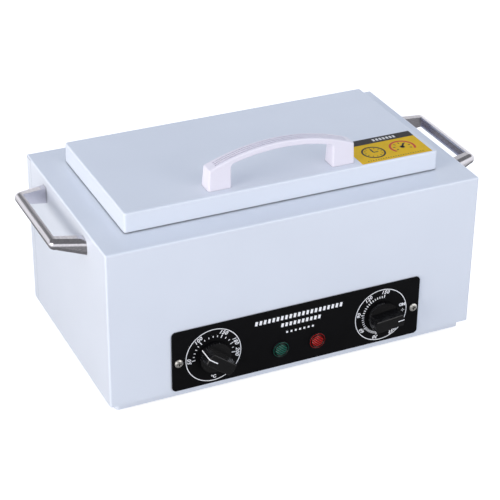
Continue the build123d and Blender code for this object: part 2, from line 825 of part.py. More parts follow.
def lamp_lens(x):
    """A domed lens that sits in the bezel, with a flange over the bezel's rim."""
    seat = Plane(origin=(x, panel_y - bezel_base, lamp_z), x_dir=(1, 0, 0), z_dir=(0, 0, -1))
    rim = bezel_height - bezel_base
    ledge = rim + lens_flange
    with BuildPart() as lens:
        with BuildSketch(seat):
            with BuildLine():
                Polyline(
                    (0, ledge + lens_crown),
                    (0, 0),
                    (lens_radius, 0),
                    (lens_radius, rim),
                    (lens_flange_radius, rim),
                    (lens_flange_radius, ledge - lens_edge),
                    (lens_flange_radius - lens_edge, ledge),
                    (lens_dome_radius, ledge),
                )
                TangentArc((0, ledge + lens_crown), (lens_dome_radius, ledge), tangent=(1, 0))
            make_face()
        revolve(axis=Axis(seat.origin, (0, -1, 0)))
    return lens


(green_x, _), (red_x, _) = lamp_places
green_lamp_body = lamp_body(green_x)
save(green_lamp_body, "green_lamp_body")
red_lamp_body = lamp_body(red_x)
save(red_lamp_body, "red_lamp_body")
green_lens = lamp_lens(green_x)
save(green_lens, "green_lens")
red_lens = lamp_lens(red_x)
save(red_lens, "red_lens")

with BuildPart() as lamp_clips:
    for x, z in lamp_places:
        rod((x, inner_y, z), TO_BACK, lamp_clip_radius, lamp_clip_sheet)
        place = (x, inner_y - over, z)
        rod(place, TO_BACK, lamp_barrel_radius + slip, lamp_clip_sheet + 2 * over, Mode.SUBTRACT)
save(lamp_clips, "lamp_clips")

# ==== chamber, heater and insulation ====

# The chamber is drawn from one sheet, with a flange that lies on the cabinet's top and four
# studs welded under its floor.
chamber_outside = drawn_block(
    Plane((0, body_y, floor_z - chamber_sheet)),
    2 * chamber_out_x,
    2 * chamber_out_y,
    chamber_corner + chamber_sheet,
    chamber_drop + chamber_sheet,
    chamber_floor_radius + chamber_sheet,
)
chamber_inside = drawn_block(
    Plane((0, body_y, floor_z)),
    chamber_width,
    chamber_depth,
    chamber_corner,
    chamber_drop + chamber_sheet + over,
    chamber_floor_radius,
)
with BuildPart() as chamber:
    add(chamber_outside)
    block(
        Plane((0, body_y, top_z)),
        2 * (chamber_out_x + chamber_flange),
        2 * (chamber_out_y + chamber_flange),
        chamber_corner + chamber_sheet + chamber_flange,
        chamber_sheet,
    )
    with Locations(*[(x, y, floor_z - chamber_sheet) for x, y in stud_places]):
        Cylinder(stud_radius, stud_length, align=(Align.CENTER, Align.CENTER, Align.MAX))
    add(chamber_inside, mode=Mode.SUBTRACT)
    for x, y in chamber_screw_places:
        rod((x, y, top_z - over), UP, small_radius + slip, chamber_sheet + 2 * over, Mode.SUBTRACT)
save(chamber, "chamber")

chamber_screws = pan_screws(
    [(x, y, top_z + chamber_sheet) for x, y in chamber_screw_places],
    UP, small_radius, small_head_radius, small_head_height, chamber_screw_length,
)
save(chamber_screws, "chamber_screws")

# The gasket is a ring of silicone on the flange, just inside the screws.
gasket_x = chamber_width / 2 + gasket_setback
gasket_y = chamber_depth / 2 + gasket_setback
gasket_reach = chamber_sheet + flange_screw_reach - small_head_radius - part_gap
gasket_width = gasket_reach - gasket_setback
gasket_height = liner_level - chamber_sheet - part_gap
with BuildPart() as chamber_gasket:
    block(
        Plane((0, body_y, top_z + chamber_sheet)),
        2 * (gasket_x + gasket_width),
        2 * (gasket_y + gasket_width),
        chamber_corner + gasket_setback + gasket_width,
        gasket_height,
    )
    fillet(chamber_gasket.faces().sort_by(Axis.Z)[-1].edges(), gasket_round)
    block(
        Plane((0, body_y, top_z)),
        2 * gasket_x,
        2 * gasket_y,
        chamber_corner + gasket_setback,
        gasket_height + chamber_sheet + over,
        Mode.SUBTRACT,
    )
save(chamber_gasket, "chamber_gasket")


def stud_holes(height, amount):
    """Clearance holes for the chamber's studs, in the part being built."""
    for x, y in stud_places:
        rod((x, y, height), UP, stud_radius + slip, amount, Mode.SUBTRACT)


with BuildPart() as heater_plate:
    block(Plane((0, body_y, heater_z)), heater_width, heater_depth, heater_corner, heater_sheet)
    stud_holes(heater_z - over, heater_sheet + 2 * over)
save(heater_plate, "heater_plate")

cutout_screw_half = cutout_radius + cutout_screw_gap + cutout_head_radius
cutout_ear_half = cutout_screw_half + cutout_ear_margin
cutout_screw_places = [(cutout_x + side * cutout_screw_half, body_y) for side in (-1, 1)]

with BuildPart() as heater_clamp:
    block(Plane((0, body_y, clamp_z)), clamp_width, clamp_depth, heater_corner, clamp_sheet)
    stud_holes(clamp_z - over, clamp_sheet + 2 * over)
    for x, y in cutout_screw_places:
        rod((x, y, clamp_z - over), UP, cutout_screw_radius + slip, clamp_sheet + 2 * over, Mode.SUBTRACT)
save(heater_clamp, "heater_clamp")

heater_nuts = nuts(
    [(x, y, clamp_z) for x, y in stud_places], DOWN, stud_nut_across, stud_nut_height,
    stud_radius + slip,
)
save(heater_nuts, "heater_nuts")

with BuildPart() as thermal_cutout:
    block(
        Plane((cutout_x, body_y, clamp_z - cutout_ear_sheet)),
        2 * cutout_ear_half,
        cutout_ear_width,
        cutout_ear_width / 2 - slip,
        cutout_ear_sheet,
    )
    rod((cutout_x, body_y, clamp_z), DOWN, cutout_radius, cutout_height)
    for side in (-1, 1):
        middle = cutout_x + side * lamp_tab_pitch / 2
        span_box(
            (middle - terminal_sheet / 2, body_y - lamp_tab_width / 2, clamp_z - cutout_height),
            (
                middle + terminal_sheet / 2,
                body_y + lamp_tab_width / 2,
                clamp_z - cutout_height - cutout_tab_length,
            ),
        )
    for x, y in cutout_screw_places:
        place = (x, y, clamp_z + over)
        rod(place, DOWN, cutout_screw_radius + slip, cutout_ear_sheet + 2 * over, Mode.SUBTRACT)
save(thermal_cutout, "thermal_cutout")

cutout_screws = pan_screws(
    [(x, y, clamp_z - cutout_ear_sheet) for x, y in cutout_screw_places],
    DOWN, cutout_screw_radius, cutout_head_radius, cutout_head_height,
    cutout_ear_sheet + clamp_sheet - part_gap,
)
save(cutout_screws, "cutout_screws")

with BuildPart() as side_insulation:
    block(
        Plane((0, body_y, clamp_z)),
        2 * wrap_x,
        2 * wrap_y,
        insulation_corner,
        top_z - insulation_top_clearance - clamp_z,
    )
    block(
        Plane((0, body_y, clamp_z - over)),
        2 * (chamber_out_x + insulation_gap),
        2 * (chamber_out_y + insulation_gap),
        chamber_corner + chamber_sheet,
        top_z - clamp_z,
        Mode.SUBTRACT,
    )
save(side_insulation, "side_insulation")

bulb_z = clamp_z - bulb_radius - slip
nut_pocket_depth = stud_length - heater_sheet - clamp_sheet + nut_pocket_gap
cutout_pocket = cutout_ear_half + cutout_pocket_gap
cutout_pocket_depth = cutout_height + cutout_tab_length + cutout_pocket_floor
with BuildPart() as base_insulation:
    block(
        Plane((0, body_y, insulation_z)), 2 * wrap_x, 2 * wrap_y, insulation_corner,
        insulation_base_height,
    )
    for x, y in stud_places:
        rod((x, y, clamp_z + over), DOWN, nut_pocket_radius, nut_pocket_depth + over, Mode.SUBTRACT)
    rod((cutout_x, body_y, clamp_z + over), DOWN, cutout_pocket, cutout_pocket_depth + over, Mode.SUBTRACT)
    span_box(
        (temperature_x, bulb_place_y - bulb_slot / 2, clamp_z - bulb_slot),
        (bulb_length / 2 + bulb_slot / 2, bulb_place_y + bulb_slot / 2, clamp_z + over),
        Mode.SUBTRACT,
    )
    place = (temperature_x, bulb_place_y, insulation_z - over)
    rod(place, UP, capillary_hole, insulation_base_height + 2 * over, Mode.SUBTRACT)
save(base_insulation, "base_insulation")

# The thermostat's sensing bulb lies under the clamp plate. Its capillary tube comes down
# through the insulation and the heat shield to the switch body.
with BuildPart() as sensing_bulb:
    rod((-bulb_length / 2, bulb_place_y, bulb_z), TO_RIGHT, bulb_radius, bulb_length)
    fillet(sensing_bulb.edges().filter_by(GeomType.CIRCLE), bulb_round)
    thermostat_y = inner_y + thermostat_depth / 2
    thermostat_top = dial_z + thermostat_height / 2
    turn_z = thermostat_top + capillary_rise
    with BuildLine() as route:
        FilletPolyline(
            (-bulb_length / 2 + bulb_round, bulb_place_y, bulb_z),
            (temperature_x, bulb_place_y, bulb_z),
            (temperature_x, bulb_place_y, turn_z),
            (temperature_x, thermostat_y, turn_z),
            (temperature_x, thermostat_y, thermostat_top),
            radius=capillary_bend,
        )
    with BuildSketch(Plane(route.line @ 0, z_dir=route.line % 0)) as tube:
        Circle(capillary_radius)
    sweep(tube.sketch, path=route.line)
save(sensing_bulb, "sensing_bulb")

# The heat shield is a shelf under the insulation, spot-welded to the cabinet's sides.
with BuildPart() as heat_shield:
    shield_x = side_x - sheet
    span_box((-shield_x, body_y - wrap_y, shield_z), (shield_x, body_y + wrap_y, insulation_z))
    for side in (-1, 1):
        span_box(
            (side * shield_x, body_y - wrap_y, shield_z),
            (side * (shield_x - sheet), body_y + wrap_y, insulation_z + shield_fold),
        )
    place = (temperature_x, bulb_place_y, shield_z - over)
    rod(place, UP, capillary_hole, sheet + 2 * over, Mode.SUBTRACT)
save(heat_shield, "heat_shield")

# ==== tray ====

tray_z = floor_z + part_gap
tray_base = tray_z + tray_foot_height
tray_hole_columns = 1 + int((tray_width - 2 * tray_hole_margin) // tray_hole_pitch)
tray_hole_rows = 1 + int((tray_depth - 2 * tray_hole_margin) // tray_hole_pitch)
tray_outside = drawn_block(
    Plane((0, body_y, tray_base)),
    tray_width,
    tray_depth,
    tray_corner,
    tray_height,
    tray_round + tray_sheet,
)
tray_inside = drawn_block(
    Plane((0, body_y, tray_base + tray_sheet)),
    tray_width - 2 * tray_sheet,
    tray_depth - 2 * tray_sheet,
    tray_corner - tray_sheet,
    tray_height,
    tray_round,
)
with BuildPart() as instrument_tray:
    add(tray_outside)
    block(
        Plane((0, body_y, tray_base + tray_height - tray_sheet)),
        tray_width + 2 * tray_lip,
        tray_depth + 2 * tray_lip,
        tray_corner + tray_lip,
        tray_sheet,
    )
    add(tray_inside, mode=Mode.SUBTRACT)
    foot_grid_x = tray_width - 2 * tray_foot_inset
    foot_grid_y = tray_depth - 2 * tray_foot_inset
    with Locations((0, body_y, tray_z)):
        with GridLocations(foot_grid_x, foot_grid_y, 2, 2):
            Cylinder(tray_foot_radius, tray_foot_height + tray_sheet / 2,
                     align=(Align.CENTER, Align.CENTER, Align.MIN))
    with Locations((0, body_y, tray_base - over)):
        with GridLocations(tray_hole_pitch, tray_hole_pitch, tray_hole_columns, tray_hole_rows):
            Cylinder(tray_hole_radius, tray_sheet + 2 * over,
                     align=(Align.CENTER, Align.CENTER, Align.MIN), mode=Mode.SUBTRACT)
save(instrument_tray, "instrument_tray")

# ==== lid ====

flap_screw_z = hinge_z + hinge_flap_screw_reach
lid_inner_top = lid_top - sheet

with BuildPart() as lid_shell:
    block(Plane((0, body_y, lid_z)), lid_width, lid_depth, lid_corner, lid_top - lid_z)
    fillet(lid_shell.faces().sort_by(Axis.Z)[-1].edges(), lid_edge)
    block(
        Plane((0, body_y, lid_z - over)),
        lid_width - 2 * sheet,
        lid_depth - 2 * sheet,
        lid_corner - sheet,
        lid_inner_top - lid_z + over,
        Mode.SUBTRACT,
    )
    for x, y in grip_screw_places:
        rod((x, y, lid_top + over), DOWN, screw_radius + slip, sheet + 2 * over, Mode.SUBTRACT)
    for x in hinge_screw_x:
        place = (x, lid_rear_y + over, flap_screw_z)
        rod(place, TO_FRONT, flush_screw_radius + slip, sheet + 2 * over, Mode.SUBTRACT)
save(lid_shell, "lid_shell")

# The liner closes the lid from below, and its pressed plug reaches into the chamber's mouth.
with BuildPart() as lid_liner:
    liner_width = lid_width - 2 * sheet
    liner_depth = lid_depth - 2 * sheet
    plug_width = chamber_width - 2 * plug_side_gap
    plug_depth = chamber_depth - 2 * plug_side_gap
    plug_corner = chamber_corner - plug_side_gap
    plug_z = top_z - plug_drop
    block(Plane((0, body_y, liner_z)), liner_width, liner_depth, liner_corner, liner_wall)
    block(Plane((0, body_y, plug_z)), plug_width, plug_depth, plug_corner, liner_z - plug_z)
    block(
        Plane((0, body_y, liner_z + liner_sheet)),
        liner_width - 2 * liner_sheet,
        liner_depth - 2 * liner_sheet,
        liner_corner - liner_sheet,
        liner_wall,
        Mode.SUBTRACT,
    )
    block(
        Plane((0, body_y, plug_z + liner_sheet)),
        plug_width - 2 * liner_sheet,
        plug_depth - 2 * liner_sheet,
        plug_corner - liner_sheet,
        liner_wall,
        Mode.SUBTRACT,
    )
    for x in hinge_screw_x:
        place = (x, lid_rear_y, flap_screw_z)
        rod(place, TO_FRONT, flush_screw_radius + slip, 2 * sheet + over, Mode.SUBTRACT)
save(lid_liner, "lid_liner")

with BuildPart() as lid_insulation:
    block(
        Plane((0, body_y, liner_z + liner_sheet)),
        lid_width - 2 * (sheet + lid_insulation_inset),
        lid_depth - 2 * (sheet + lid_insulation_inset),
        insulation_corner,
        lid_inner_top - liner_z - liner_sheet,
    )
    for x, y in grip_screw_places:
        place = (x, y, lid_inner_top + over)
        rod(place, DOWN, lid_pocket_radius, lid_pocket_depth + over, Mode.SUBTRACT)
save(lid_insulation, "lid_insulation")

# The lid handle is a moulded arch: two feet, a curved grip, and grooves along its top.
grip_half = grip_span / 2
grip_end_half = grip_half - grip_end_lean
grip_inner_half = grip_half - grip_foot


def grip_outline(plane, shrink=0.0):
    """The arch as seen from the front, optionally drawn in from its edge."""
    with BuildSketch(plane, mode=Mode.PRIVATE) as outline:
        with BuildLine():
            Polyline(
                (-grip_inner_half, grip_under_end),
                (-grip_inner_half, 0),
                (-grip_half, 0),
                (-grip_end_half, grip_end_height),
            )
            ThreePointArc(
                (-grip_end_half, grip_end_height), (0, grip_rise), (grip_end_half, grip_end_height)
            )
            Polyline(
                (grip_end_half, grip_end_height),
                (grip_half, 0),
                (grip_inner_half, 0),
                (grip_inner_half, grip_under_end),
            )
            ThreePointArc(
                (grip_inner_half, grip_under_end), (0, grip_under_rise), (-grip_inner_half, grip_under_end)
            )
        make_face()
        corners = outline.vertices().filter_by_position(
            Axis.Y, grip_end_height - slip, grip_end_height + slip
        )
        fillet(corners, grip_corner)
        armpits = outline.vertices().filter_by_position(
            Axis.Y, grip_under_end - slip, grip_under_end + slip
        ).filter_by_position(Axis.X, -grip_inner_half - slip, grip_inner_half + slip)
        fillet(armpits, grip_inner_radius)
        if shrink:
            offset(amount=-shrink, mode=Mode.REPLACE)
    return outline.sketch


with BuildPart() as lid_handle:
    grip_plane = front_plane(0, grip_front_y, lid_top)
    extrude(grip_outline(grip_plane), amount=-grip_foot_depth)
    with BuildSketch(Plane(origin=(0, grip_front_y, lid_top), x_dir=(0, 1, 0), z_dir=(1, 0, 0))):
        with BuildLine():
            Polyline(
                (0, 0),
                (grip_foot_depth, 0),
                (grip_foot_depth - grip_top_rear, grip_rise + over),
                (grip_top_front, grip_rise + over),
                close=True,
            )
        make_face()
    extrude(amount=grip_span, both=True, mode=Mode.INTERSECT)
    front_face = lid_handle.faces().sort_by(Axis.Y)[0]
    rear_face = lid_handle.faces().sort_by(Axis.Y)[-1]
    rims = [
        edge for edge in front_face.edges() + rear_face.edges()
        if edge.center().Z > lid_top + slip
    ]
    fillet(rims, grip_round)
    groove_middle_y = grip_front_y + (grip_top_front + grip_foot_depth - grip_top_rear) / 2
    for row in range(groove_count):
        groove_y = groove_middle_y + groove_pitch * (row - (groove_count - 1) / 2) - groove_width / 2
        groove_plane = front_plane(0, groove_y, lid_top)
        with BuildSketch(groove_plane, mode=Mode.PRIVATE) as groove:
            with Locations((0, grip_end_height)):
                Rectangle(2 * groove_end, grip_rise, align=(Align.CENTER, Align.MIN))
        band = groove.sketch - grip_outline(groove_plane, groove_depth)
        upper = band.faces().sort_by(Axis.Z)[-1]
        extrude(upper, amount=-groove_width, mode=Mode.SUBTRACT)
    for x, y in grip_screw_places:
        rod((x, y, lid_top - over), UP, screw_radius + slip, grip_screw_length + over, Mode.SUBTRACT)
save(lid_handle, "lid_handle")

lid_handle_screws = pan_screws(
    [(x, y, lid_inner_top) for x, y in grip_screw_places],
    DOWN, screw_radius, screw_head_radius, screw_head_height, grip_screw_length,
)
save(lid_handle_screws, "lid_handle_screws")

# ==== hinges ====

knuckle_half = hinge_tongue / 2


def add_bore(x):
    """The pin's bore right through a hinge, in the part being built."""
    place = (x - hinge_length / 2 - over, hinge_y, hinge_z)
    rod(place, TO_RIGHT, hinge_pin_radius + slip, hinge_length + 2 * over, Mode.SUBTRACT)


def hinge_base(x):
    """The fixed leaf on the cabinet's top, with a knuckle at each end."""
    with BuildPart() as leaf:
        span_box(
            (x - hinge_length / 2, hinge_y, top_z),
            (x + hinge_length / 2, hinge_y + hinge_leaf, top_z + hinge_sheet),
        )
        for side in (-1, 1):
            start = x + side * (knuckle_half + hinge_knuckle_gap)
            turn = TO_RIGHT if side > 0 else TO_LEFT
            length = (hinge_length - hinge_tongue) / 2 - hinge_knuckle_gap
            rod((start, hinge_y, hinge_z), turn, hinge_barrel, length)
            span_box(
                (start, hinge_y, top_z), (start + side * length, hinge_y + hinge_barrel, hinge_z)
            )
        span_box(
            (x - knuckle_half - hinge_knuckle_gap, hinge_y - over, top_z - over),
            (
                x + knuckle_half + hinge_knuckle_gap,
                hinge_y + hinge_barrel + hinge_knuckle_gap,
                top_z + hinge_sheet + over,
            ),
            Mode.SUBTRACT,
        )
        add_bore(x)
        for side in (-1, 1):
            place = (x + side * hinge_screw_spacing / 2, hinge_y + hinge_screw_reach, top_z + hinge_sheet)
            sink(place, UP)
    return leaf


def hinge_flap(x):
    """The leaf on the lid's rear face, with the middle knuckle."""
    with BuildPart() as flap:
        low_z = hinge_z + hinge_barrel + hinge_knuckle_gap
        high_z = hinge_z + hinge_flap_height
        flap_y = lid_rear_y + hinge_sheet
        span_box(
            (x - hinge_length / 2, lid_rear_y, low_z), (x + hinge_length / 2, flap_y, high_z)
        )
        span_box((x - knuckle_half, lid_rear_y, hinge_z), (x + knuckle_half, flap_y, high_z))
        span_box(
            (x - knuckle_half, lid_rear_y + hinge_offset - hinge_barrel, hinge_z),
            (x + knuckle_half, hinge_y, hinge_z + hinge_barrel),
        )
        rod((x - knuckle_half, hinge_y, hinge_z), TO_RIGHT, hinge_barrel, hinge_tongue)
        add_bore(x)
        for side in (-1, 1):
            sink((x + side * hinge_screw_spacing / 2, flap_y, flap_screw_z), TO_BACK)
    return flap


left_hinge_x, right_hinge_x = hinge_x
hinge_base_left = hinge_base(left_hinge_x)
save(hinge_base_left, "hinge_base_left")
hinge_base_right = hinge_base(right_hinge_x)
save(hinge_base_right, "hinge_base_right")
hinge_flap_left = hinge_flap(left_hinge_x)
save(hinge_flap_left, "hinge_flap_left")
hinge_flap_right = hinge_flap(right_hinge_x)
save(hinge_flap_right, "hinge_flap_right")

with BuildPart() as hinge_pins:
    for x in hinge_x:
        rod((x - hinge_length / 2, hinge_y, hinge_z), TO_RIGHT, hinge_pin_radius, hinge_length)
save(hinge_pins, "hinge_pins")

hinge_base_screws = flush_screws(
    [(x, hinge_y + hinge_screw_reach, top_z + hinge_sheet) for x in hinge_screw_x],
    UP, flush_screw_length,
)
save(hinge_base_screws, "hinge_base_screws")

hinge_flap_screws = flush_screws(
    [(x, lid_rear_y + hinge_sheet, flap_screw_z) for x in hinge_screw_x],
    TO_BACK, flush_screw_length,
)
save(hinge_flap_screws, "hinge_flap_screws")

# ==== side handles ====


def side_handle(side):
    """A bow handle: solid splayed legs and a bar that is hollow along its inner side."""
    with BuildPart() as bow:
        with BuildSketch(
            Plane(origin=(side * side_x, body_y, 0), x_dir=(side, 0, 0), z_dir=(0, 0, 1))
        ) as plan:
            with BuildLine():
                Polyline(
                    (0, -bow_wall_half),
                    (bow_reach, -bow_bar_half),
                    (bow_reach, bow_bar_half),
                    (0, bow_wall_half),
                    (0, bow_wall_inner_half),
                    (bow_reach - bow_bar_depth, bow_bar_inner_half),
                    (bow_reach - bow_bar_depth, -bow_bar_inner_half),
                    (0, -bow_wall_inner_half),
                    close=True,
                )
            make_face()
            fillet(plan.vertices().filter_by_position(Axis.X, bow_reach - slip, bow_reach + slip), bow_corner)
        extrude(amount=top_z)
        with BuildSketch(
            Plane(origin=(side * side_x, body_y, top_z), x_dir=(side, 0, 0), z_dir=(0, -side, 0))
        ):
            with BuildLine():
                Polyline(
                    (0, -bow_wall_low),
                    (bow_reach - bow_bar_depth, -bow_bar_low),
                    (bow_reach, -bow_bar_low),
                    (bow_reach, -bow_bar_high),
                    (bow_reach - bow_bar_depth, -bow_bar_high),
                    (0, -bow_wall_high),
                    close=True,
                )
            make_face()
        extrude(amount=bow_wall_half, both=True, mode=Mode.INTERSECT)
        wall_x = side * side_x
        hollow = Vector(wall_x + side * bow_reach / 2, body_y, 0)
        outer_faces = [
            face for face in bow.faces()
            if abs(face.normal_at().Z) < slip and face.normal_at().dot(face.center() - hollow) > 0
        ]
        rims = [
            edge for face in outer_faces for edge in face.edges()
            if abs(edge.bounding_box().size.Z) < abs(edge.length) / 2
            and abs(edge.center().X - wall_x) > slip
        ]
        fillet(rims, bow_round)
        middle_z = top_z - (bow_bar_low + bow_bar_high) / 2
        channel_x = side * (side_x + bow_reach - bow_bar_depth)
        span_box(
            (channel_x - side * over, body_y - bow_bar_inner_half, middle_z - bow_channel_height / 2),
            (
                channel_x + side * bow_channel_depth,
                body_y + bow_bar_inner_half,
                middle_z + bow_channel_height / 2,
            ),
            Mode.SUBTRACT,
        )
        for y in bow_screw_y:
            place = (side * (side_x - over), y, bow_screw_z)
            turn = TO_RIGHT if side > 0 else TO_LEFT
            rod(place, turn, screw_radius + slip, bow_screw_bite + over, Mode.SUBTRACT)
    return bow


side_handle_left = side_handle(-1)
save(side_handle_left, "side_handle_left")
side_handle_right = side_handle(1)
save(side_handle_right, "side_handle_right")

left_bow_screws = pan_screws(
    [(sheet - side_x, y, bow_screw_z) for y in bow_screw_y],
    TO_RIGHT, screw_radius, screw_head_radius, screw_head_height, sheet + bow_screw_bite - slip,
)
right_bow_screws = pan_screws(
    [(side_x - sheet, y, bow_screw_z) for y in bow_screw_y],
    TO_LEFT, screw_radius, screw_head_radius, screw_head_height, sheet + bow_screw_bite - slip,
)
save(left_bow_screws, "left_handle_screws")
save(right_bow_screws, "right_handle_screws")

# ==== mains inlet and terminals ====

pin_places = [
    (inlet_x - pin_spacing / 2, inlet_height - pin_offset),
    (inlet_x, inlet_height + pin_offset),
    (inlet_x + pin_spacing / 2, inlet_height - pin_offset),
]

with BuildPart() as mains_inlet:
    block(
        rear_plane(inlet_x, rear_y, inlet_height), inlet_flange_width, inlet_flange_height,
        inlet_corner, inlet_flange,
    )
    inlet_back = inlet_socket_depth + inlet_floor - inlet_flange
    block(
        rear_plane(inlet_x, rear_y, inlet_height), inlet_body_width, inlet_body_height,
        inlet_cut_gap, -inlet_back,
    )
    with BuildSketch(rear_plane(inlet_x, rear_y + inlet_flange, inlet_height)) as socket:
        Rectangle(inlet_socket_width, inlet_socket_height)
        chamfer(socket.vertices().group_by(Axis.Y)[0], inlet_socket_chamfer)
    extrude(socket.sketch, amount=-inlet_socket_depth, mode=Mode.SUBTRACT)
    for x, z in pin_places:
        place = (x, rear_y - inlet_back / 2, z)
        with Locations(place):
            Box(pin_width, inlet_back + over, pin_height, mode=Mode.SUBTRACT)
    for x in inlet_screw_x:
        place = (x, rear_y - over, inlet_height)
        rod(place, TO_BACK, small_radius + slip, inlet_flange + 2 * over, Mode.SUBTRACT)
        seat = (x, rear_y + inlet_flange - inlet_sink, inlet_height)
        rod(seat, TO_BACK, small_head_radius + part_gap, inlet_sink + over, Mode.SUBTRACT)
save(mains_inlet, "mains_inlet")

with BuildPart() as inlet_pins:
    pin_root = rear_y - inlet_back
    for x, z in pin_places:
        span_box(
            (x - pin_width / 2, pin_root - pin_tail, z - pin_height / 2),
            (x + pin_width / 2, pin_root + inlet_floor + pin_length, z + pin_height / 2),
        )
save(inlet_pins, "inlet_pins")

inlet_screws = pan_screws(
    [(x, rear_y + inlet_flange - inlet_sink, inlet_height) for x in inlet_screw_x],
    TO_BACK, small_radius, small_head_radius, small_head_height, inlet_screw_length,
)
save(inlet_screws, "inlet_screws")

block_z = pan_z + sheet
with BuildPart() as terminal_block:
    span_box(
        (block_x - block_width / 2, block_y - block_depth / 2, block_z),
        (block_x + block_width / 2, block_y + block_depth / 2, block_z + block_height),
    )
    for x in block_screw_x:
        rod((x, block_y, block_z - over), UP, small_radius + slip, block_height + over, Mode.SUBTRACT)
        place = (x, block_y, block_z + block_screw_seat)
        rod(place, UP, small_head_radius + part_gap, block_height, Mode.SUBTRACT)
    for way in range(block_ways):
        way_x = block_x + block_pitch * (way - (block_ways - 1) / 2)
        place = (way_x, block_y - block_depth / 2 - over, block_z + block_bore_height)
        rod(place, TO_BACK, block_bore / 2, block_depth + 2 * over, Mode.SUBTRACT)
        place = (way_x, block_y, block_z + block_height + over)
        rod(place, DOWN, block_bore / 2, block_bore_depth + over, Mode.SUBTRACT)
save(terminal_block, "terminal_block")

terminal_block_screws = pan_screws(
    [(x, block_y, block_z + block_screw_seat) for x in block_screw_x],
    UP, small_radius, small_head_radius, small_head_height, block_screw_seat + 2 * sheet,
)
save(terminal_block_screws, "terminal_block_screws")
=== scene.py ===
import json
from math import cos, pi, radians, sin

import bmesh
import bpy
import numpy as np
from mathutils import Matrix, Vector


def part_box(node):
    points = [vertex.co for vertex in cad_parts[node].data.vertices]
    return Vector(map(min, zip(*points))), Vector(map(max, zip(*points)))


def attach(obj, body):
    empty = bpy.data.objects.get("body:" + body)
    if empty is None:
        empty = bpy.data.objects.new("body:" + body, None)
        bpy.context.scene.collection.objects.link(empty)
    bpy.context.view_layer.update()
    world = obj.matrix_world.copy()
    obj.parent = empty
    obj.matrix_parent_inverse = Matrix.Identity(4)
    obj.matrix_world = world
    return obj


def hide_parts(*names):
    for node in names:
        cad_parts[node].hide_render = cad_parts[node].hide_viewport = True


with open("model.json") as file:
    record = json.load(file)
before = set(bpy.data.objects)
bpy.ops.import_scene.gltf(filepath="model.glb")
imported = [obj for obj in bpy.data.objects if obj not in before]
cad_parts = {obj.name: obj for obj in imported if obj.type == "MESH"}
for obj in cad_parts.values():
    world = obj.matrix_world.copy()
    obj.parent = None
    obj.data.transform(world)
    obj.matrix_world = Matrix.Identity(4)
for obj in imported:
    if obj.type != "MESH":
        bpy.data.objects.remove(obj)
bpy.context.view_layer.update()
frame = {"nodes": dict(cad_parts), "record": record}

bl_info = {
    "name": "Dry heat sterilizer",
    "version": (1, 0, 0),
    "blender": (4, 5, 0),
    "location": "View3D > Sidebar > Sterilizer",
    "description": "Finishes, dial prints and small fittings of a bench-top dry heat sterilizer",
    "category": "Object",
}

MM = 0.001

# How much of a font's size its capitals and figures take up.
CAPITAL_SHARE = 0.7

# The span of a noise's values that is stretched over the whole range it drives.
NOISE_SPAN = {"From Min": 0.3, "From Max": 0.7}

WHITE = (1, 1, 1, 1)

# Named places read from the frame.
PANEL_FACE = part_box("control_panel")[0].y
LID_LOW, LID_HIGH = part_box("lid_shell")


def centre(node):
    """The middle of a node's box."""
    low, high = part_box(node)
    return (low + high) / 2


TEMPERATURE = centre("temperature_knob")
TIMER = centre("timer_knob")


# ---- colours ----

def linear(code):
    """Linear red, green and blue of an sRGB hex colour."""
    parts = [int(code[i:i + 2], 16) / 255 for i in (1, 3, 5)]
    return tuple(p / 12.92 if p <= 0.04045 else ((p + 0.055) / 1.055) ** 2.4 for p in parts)


def paint(code):
    """The same colour with an alpha of one, for a shader's socket."""
    return (*linear(code), 1.0)


def colour_property(name, description, code):
    """A colour setting, its default given as an sRGB hex code."""
    return bpy.props.FloatVectorProperty(
        name=name, description=description, default=linear(code), subtype="COLOR", min=0, max=1
    )


def size_property(name, description, default):
    """A length setting, its default given in millimetres."""
    return bpy.props.FloatProperty(
        name=name, description=description, default=default * MM, unit="LENGTH", precision=5
    )


class SterilizerColours(bpy.types.PropertyGroup):
    """Colours that a user would change."""

    enamel: colour_property("Enamel", "Baked enamel of the cabinet and the lid", "#E6EBF3")
    handle: colour_property("Lid handle", "Moulded plastic of the lid handle", "#F1ECF4")
    panel: colour_property("Panel", "Matt black lacquer of the control panel", "#08080A")
    knob: colour_property("Knobs", "Moulded phenolic of the two knobs", "#09090B")
    print: colour_property("Print", "Screen-printed ink on the panel", "#FFFFFF")
    green: colour_property("Green lens", "Ribbed acrylic of the left lamp", "#0A6A57")
    red: colour_property("Red lens", "Ribbed acrylic of the right lamp", "#CC1010")
    vinyl: colour_property("Label", "Vinyl of the label on the lid", "#F4C414")


class SterilizerSizes(bpy.types.PropertyGroup):
    """Sizes that a user would change."""

    ink: size_property("Ink", "Thickness of the printed ink", 0.06)
    ring: size_property("Dial ring", "Radius of each printed dial ring", 27.1)
    ring_width: size_property("Ring width", "Width of the printed ring line", 0.75)
    tick_start: size_property("Tick start", "Radius where the dial ticks begin", 18.0)
    tick_length: size_property("Tick length", "Length of a main tick", 3.4)
    tick_width: size_property("Tick width", "Width of a main tick", 0.9)
    number_height: size_property(
        "Number height", "Height that the dials' characters are scaled from", 4.6)
    pointer_width: size_property("Pointer width", "Width of the knob's pointer line", 0.95)
    rib_pitch: size_property("Rib pitch", "Distance between two ribs of a lamp's lens", 2.0)
    label_width: size_property("Label width", "Width of the label on the lid", 73.2)
    label_depth: size_property("Label depth", "Depth of the label on the lid", 46.5)


def sizes():
    """The scene's size settings."""
    return bpy.context.scene.sterilizer_sizes


def colours():
    """The scene's colour settings."""
    return bpy.context.scene.sterilizer_colours


# ---- mesh surfaces ----

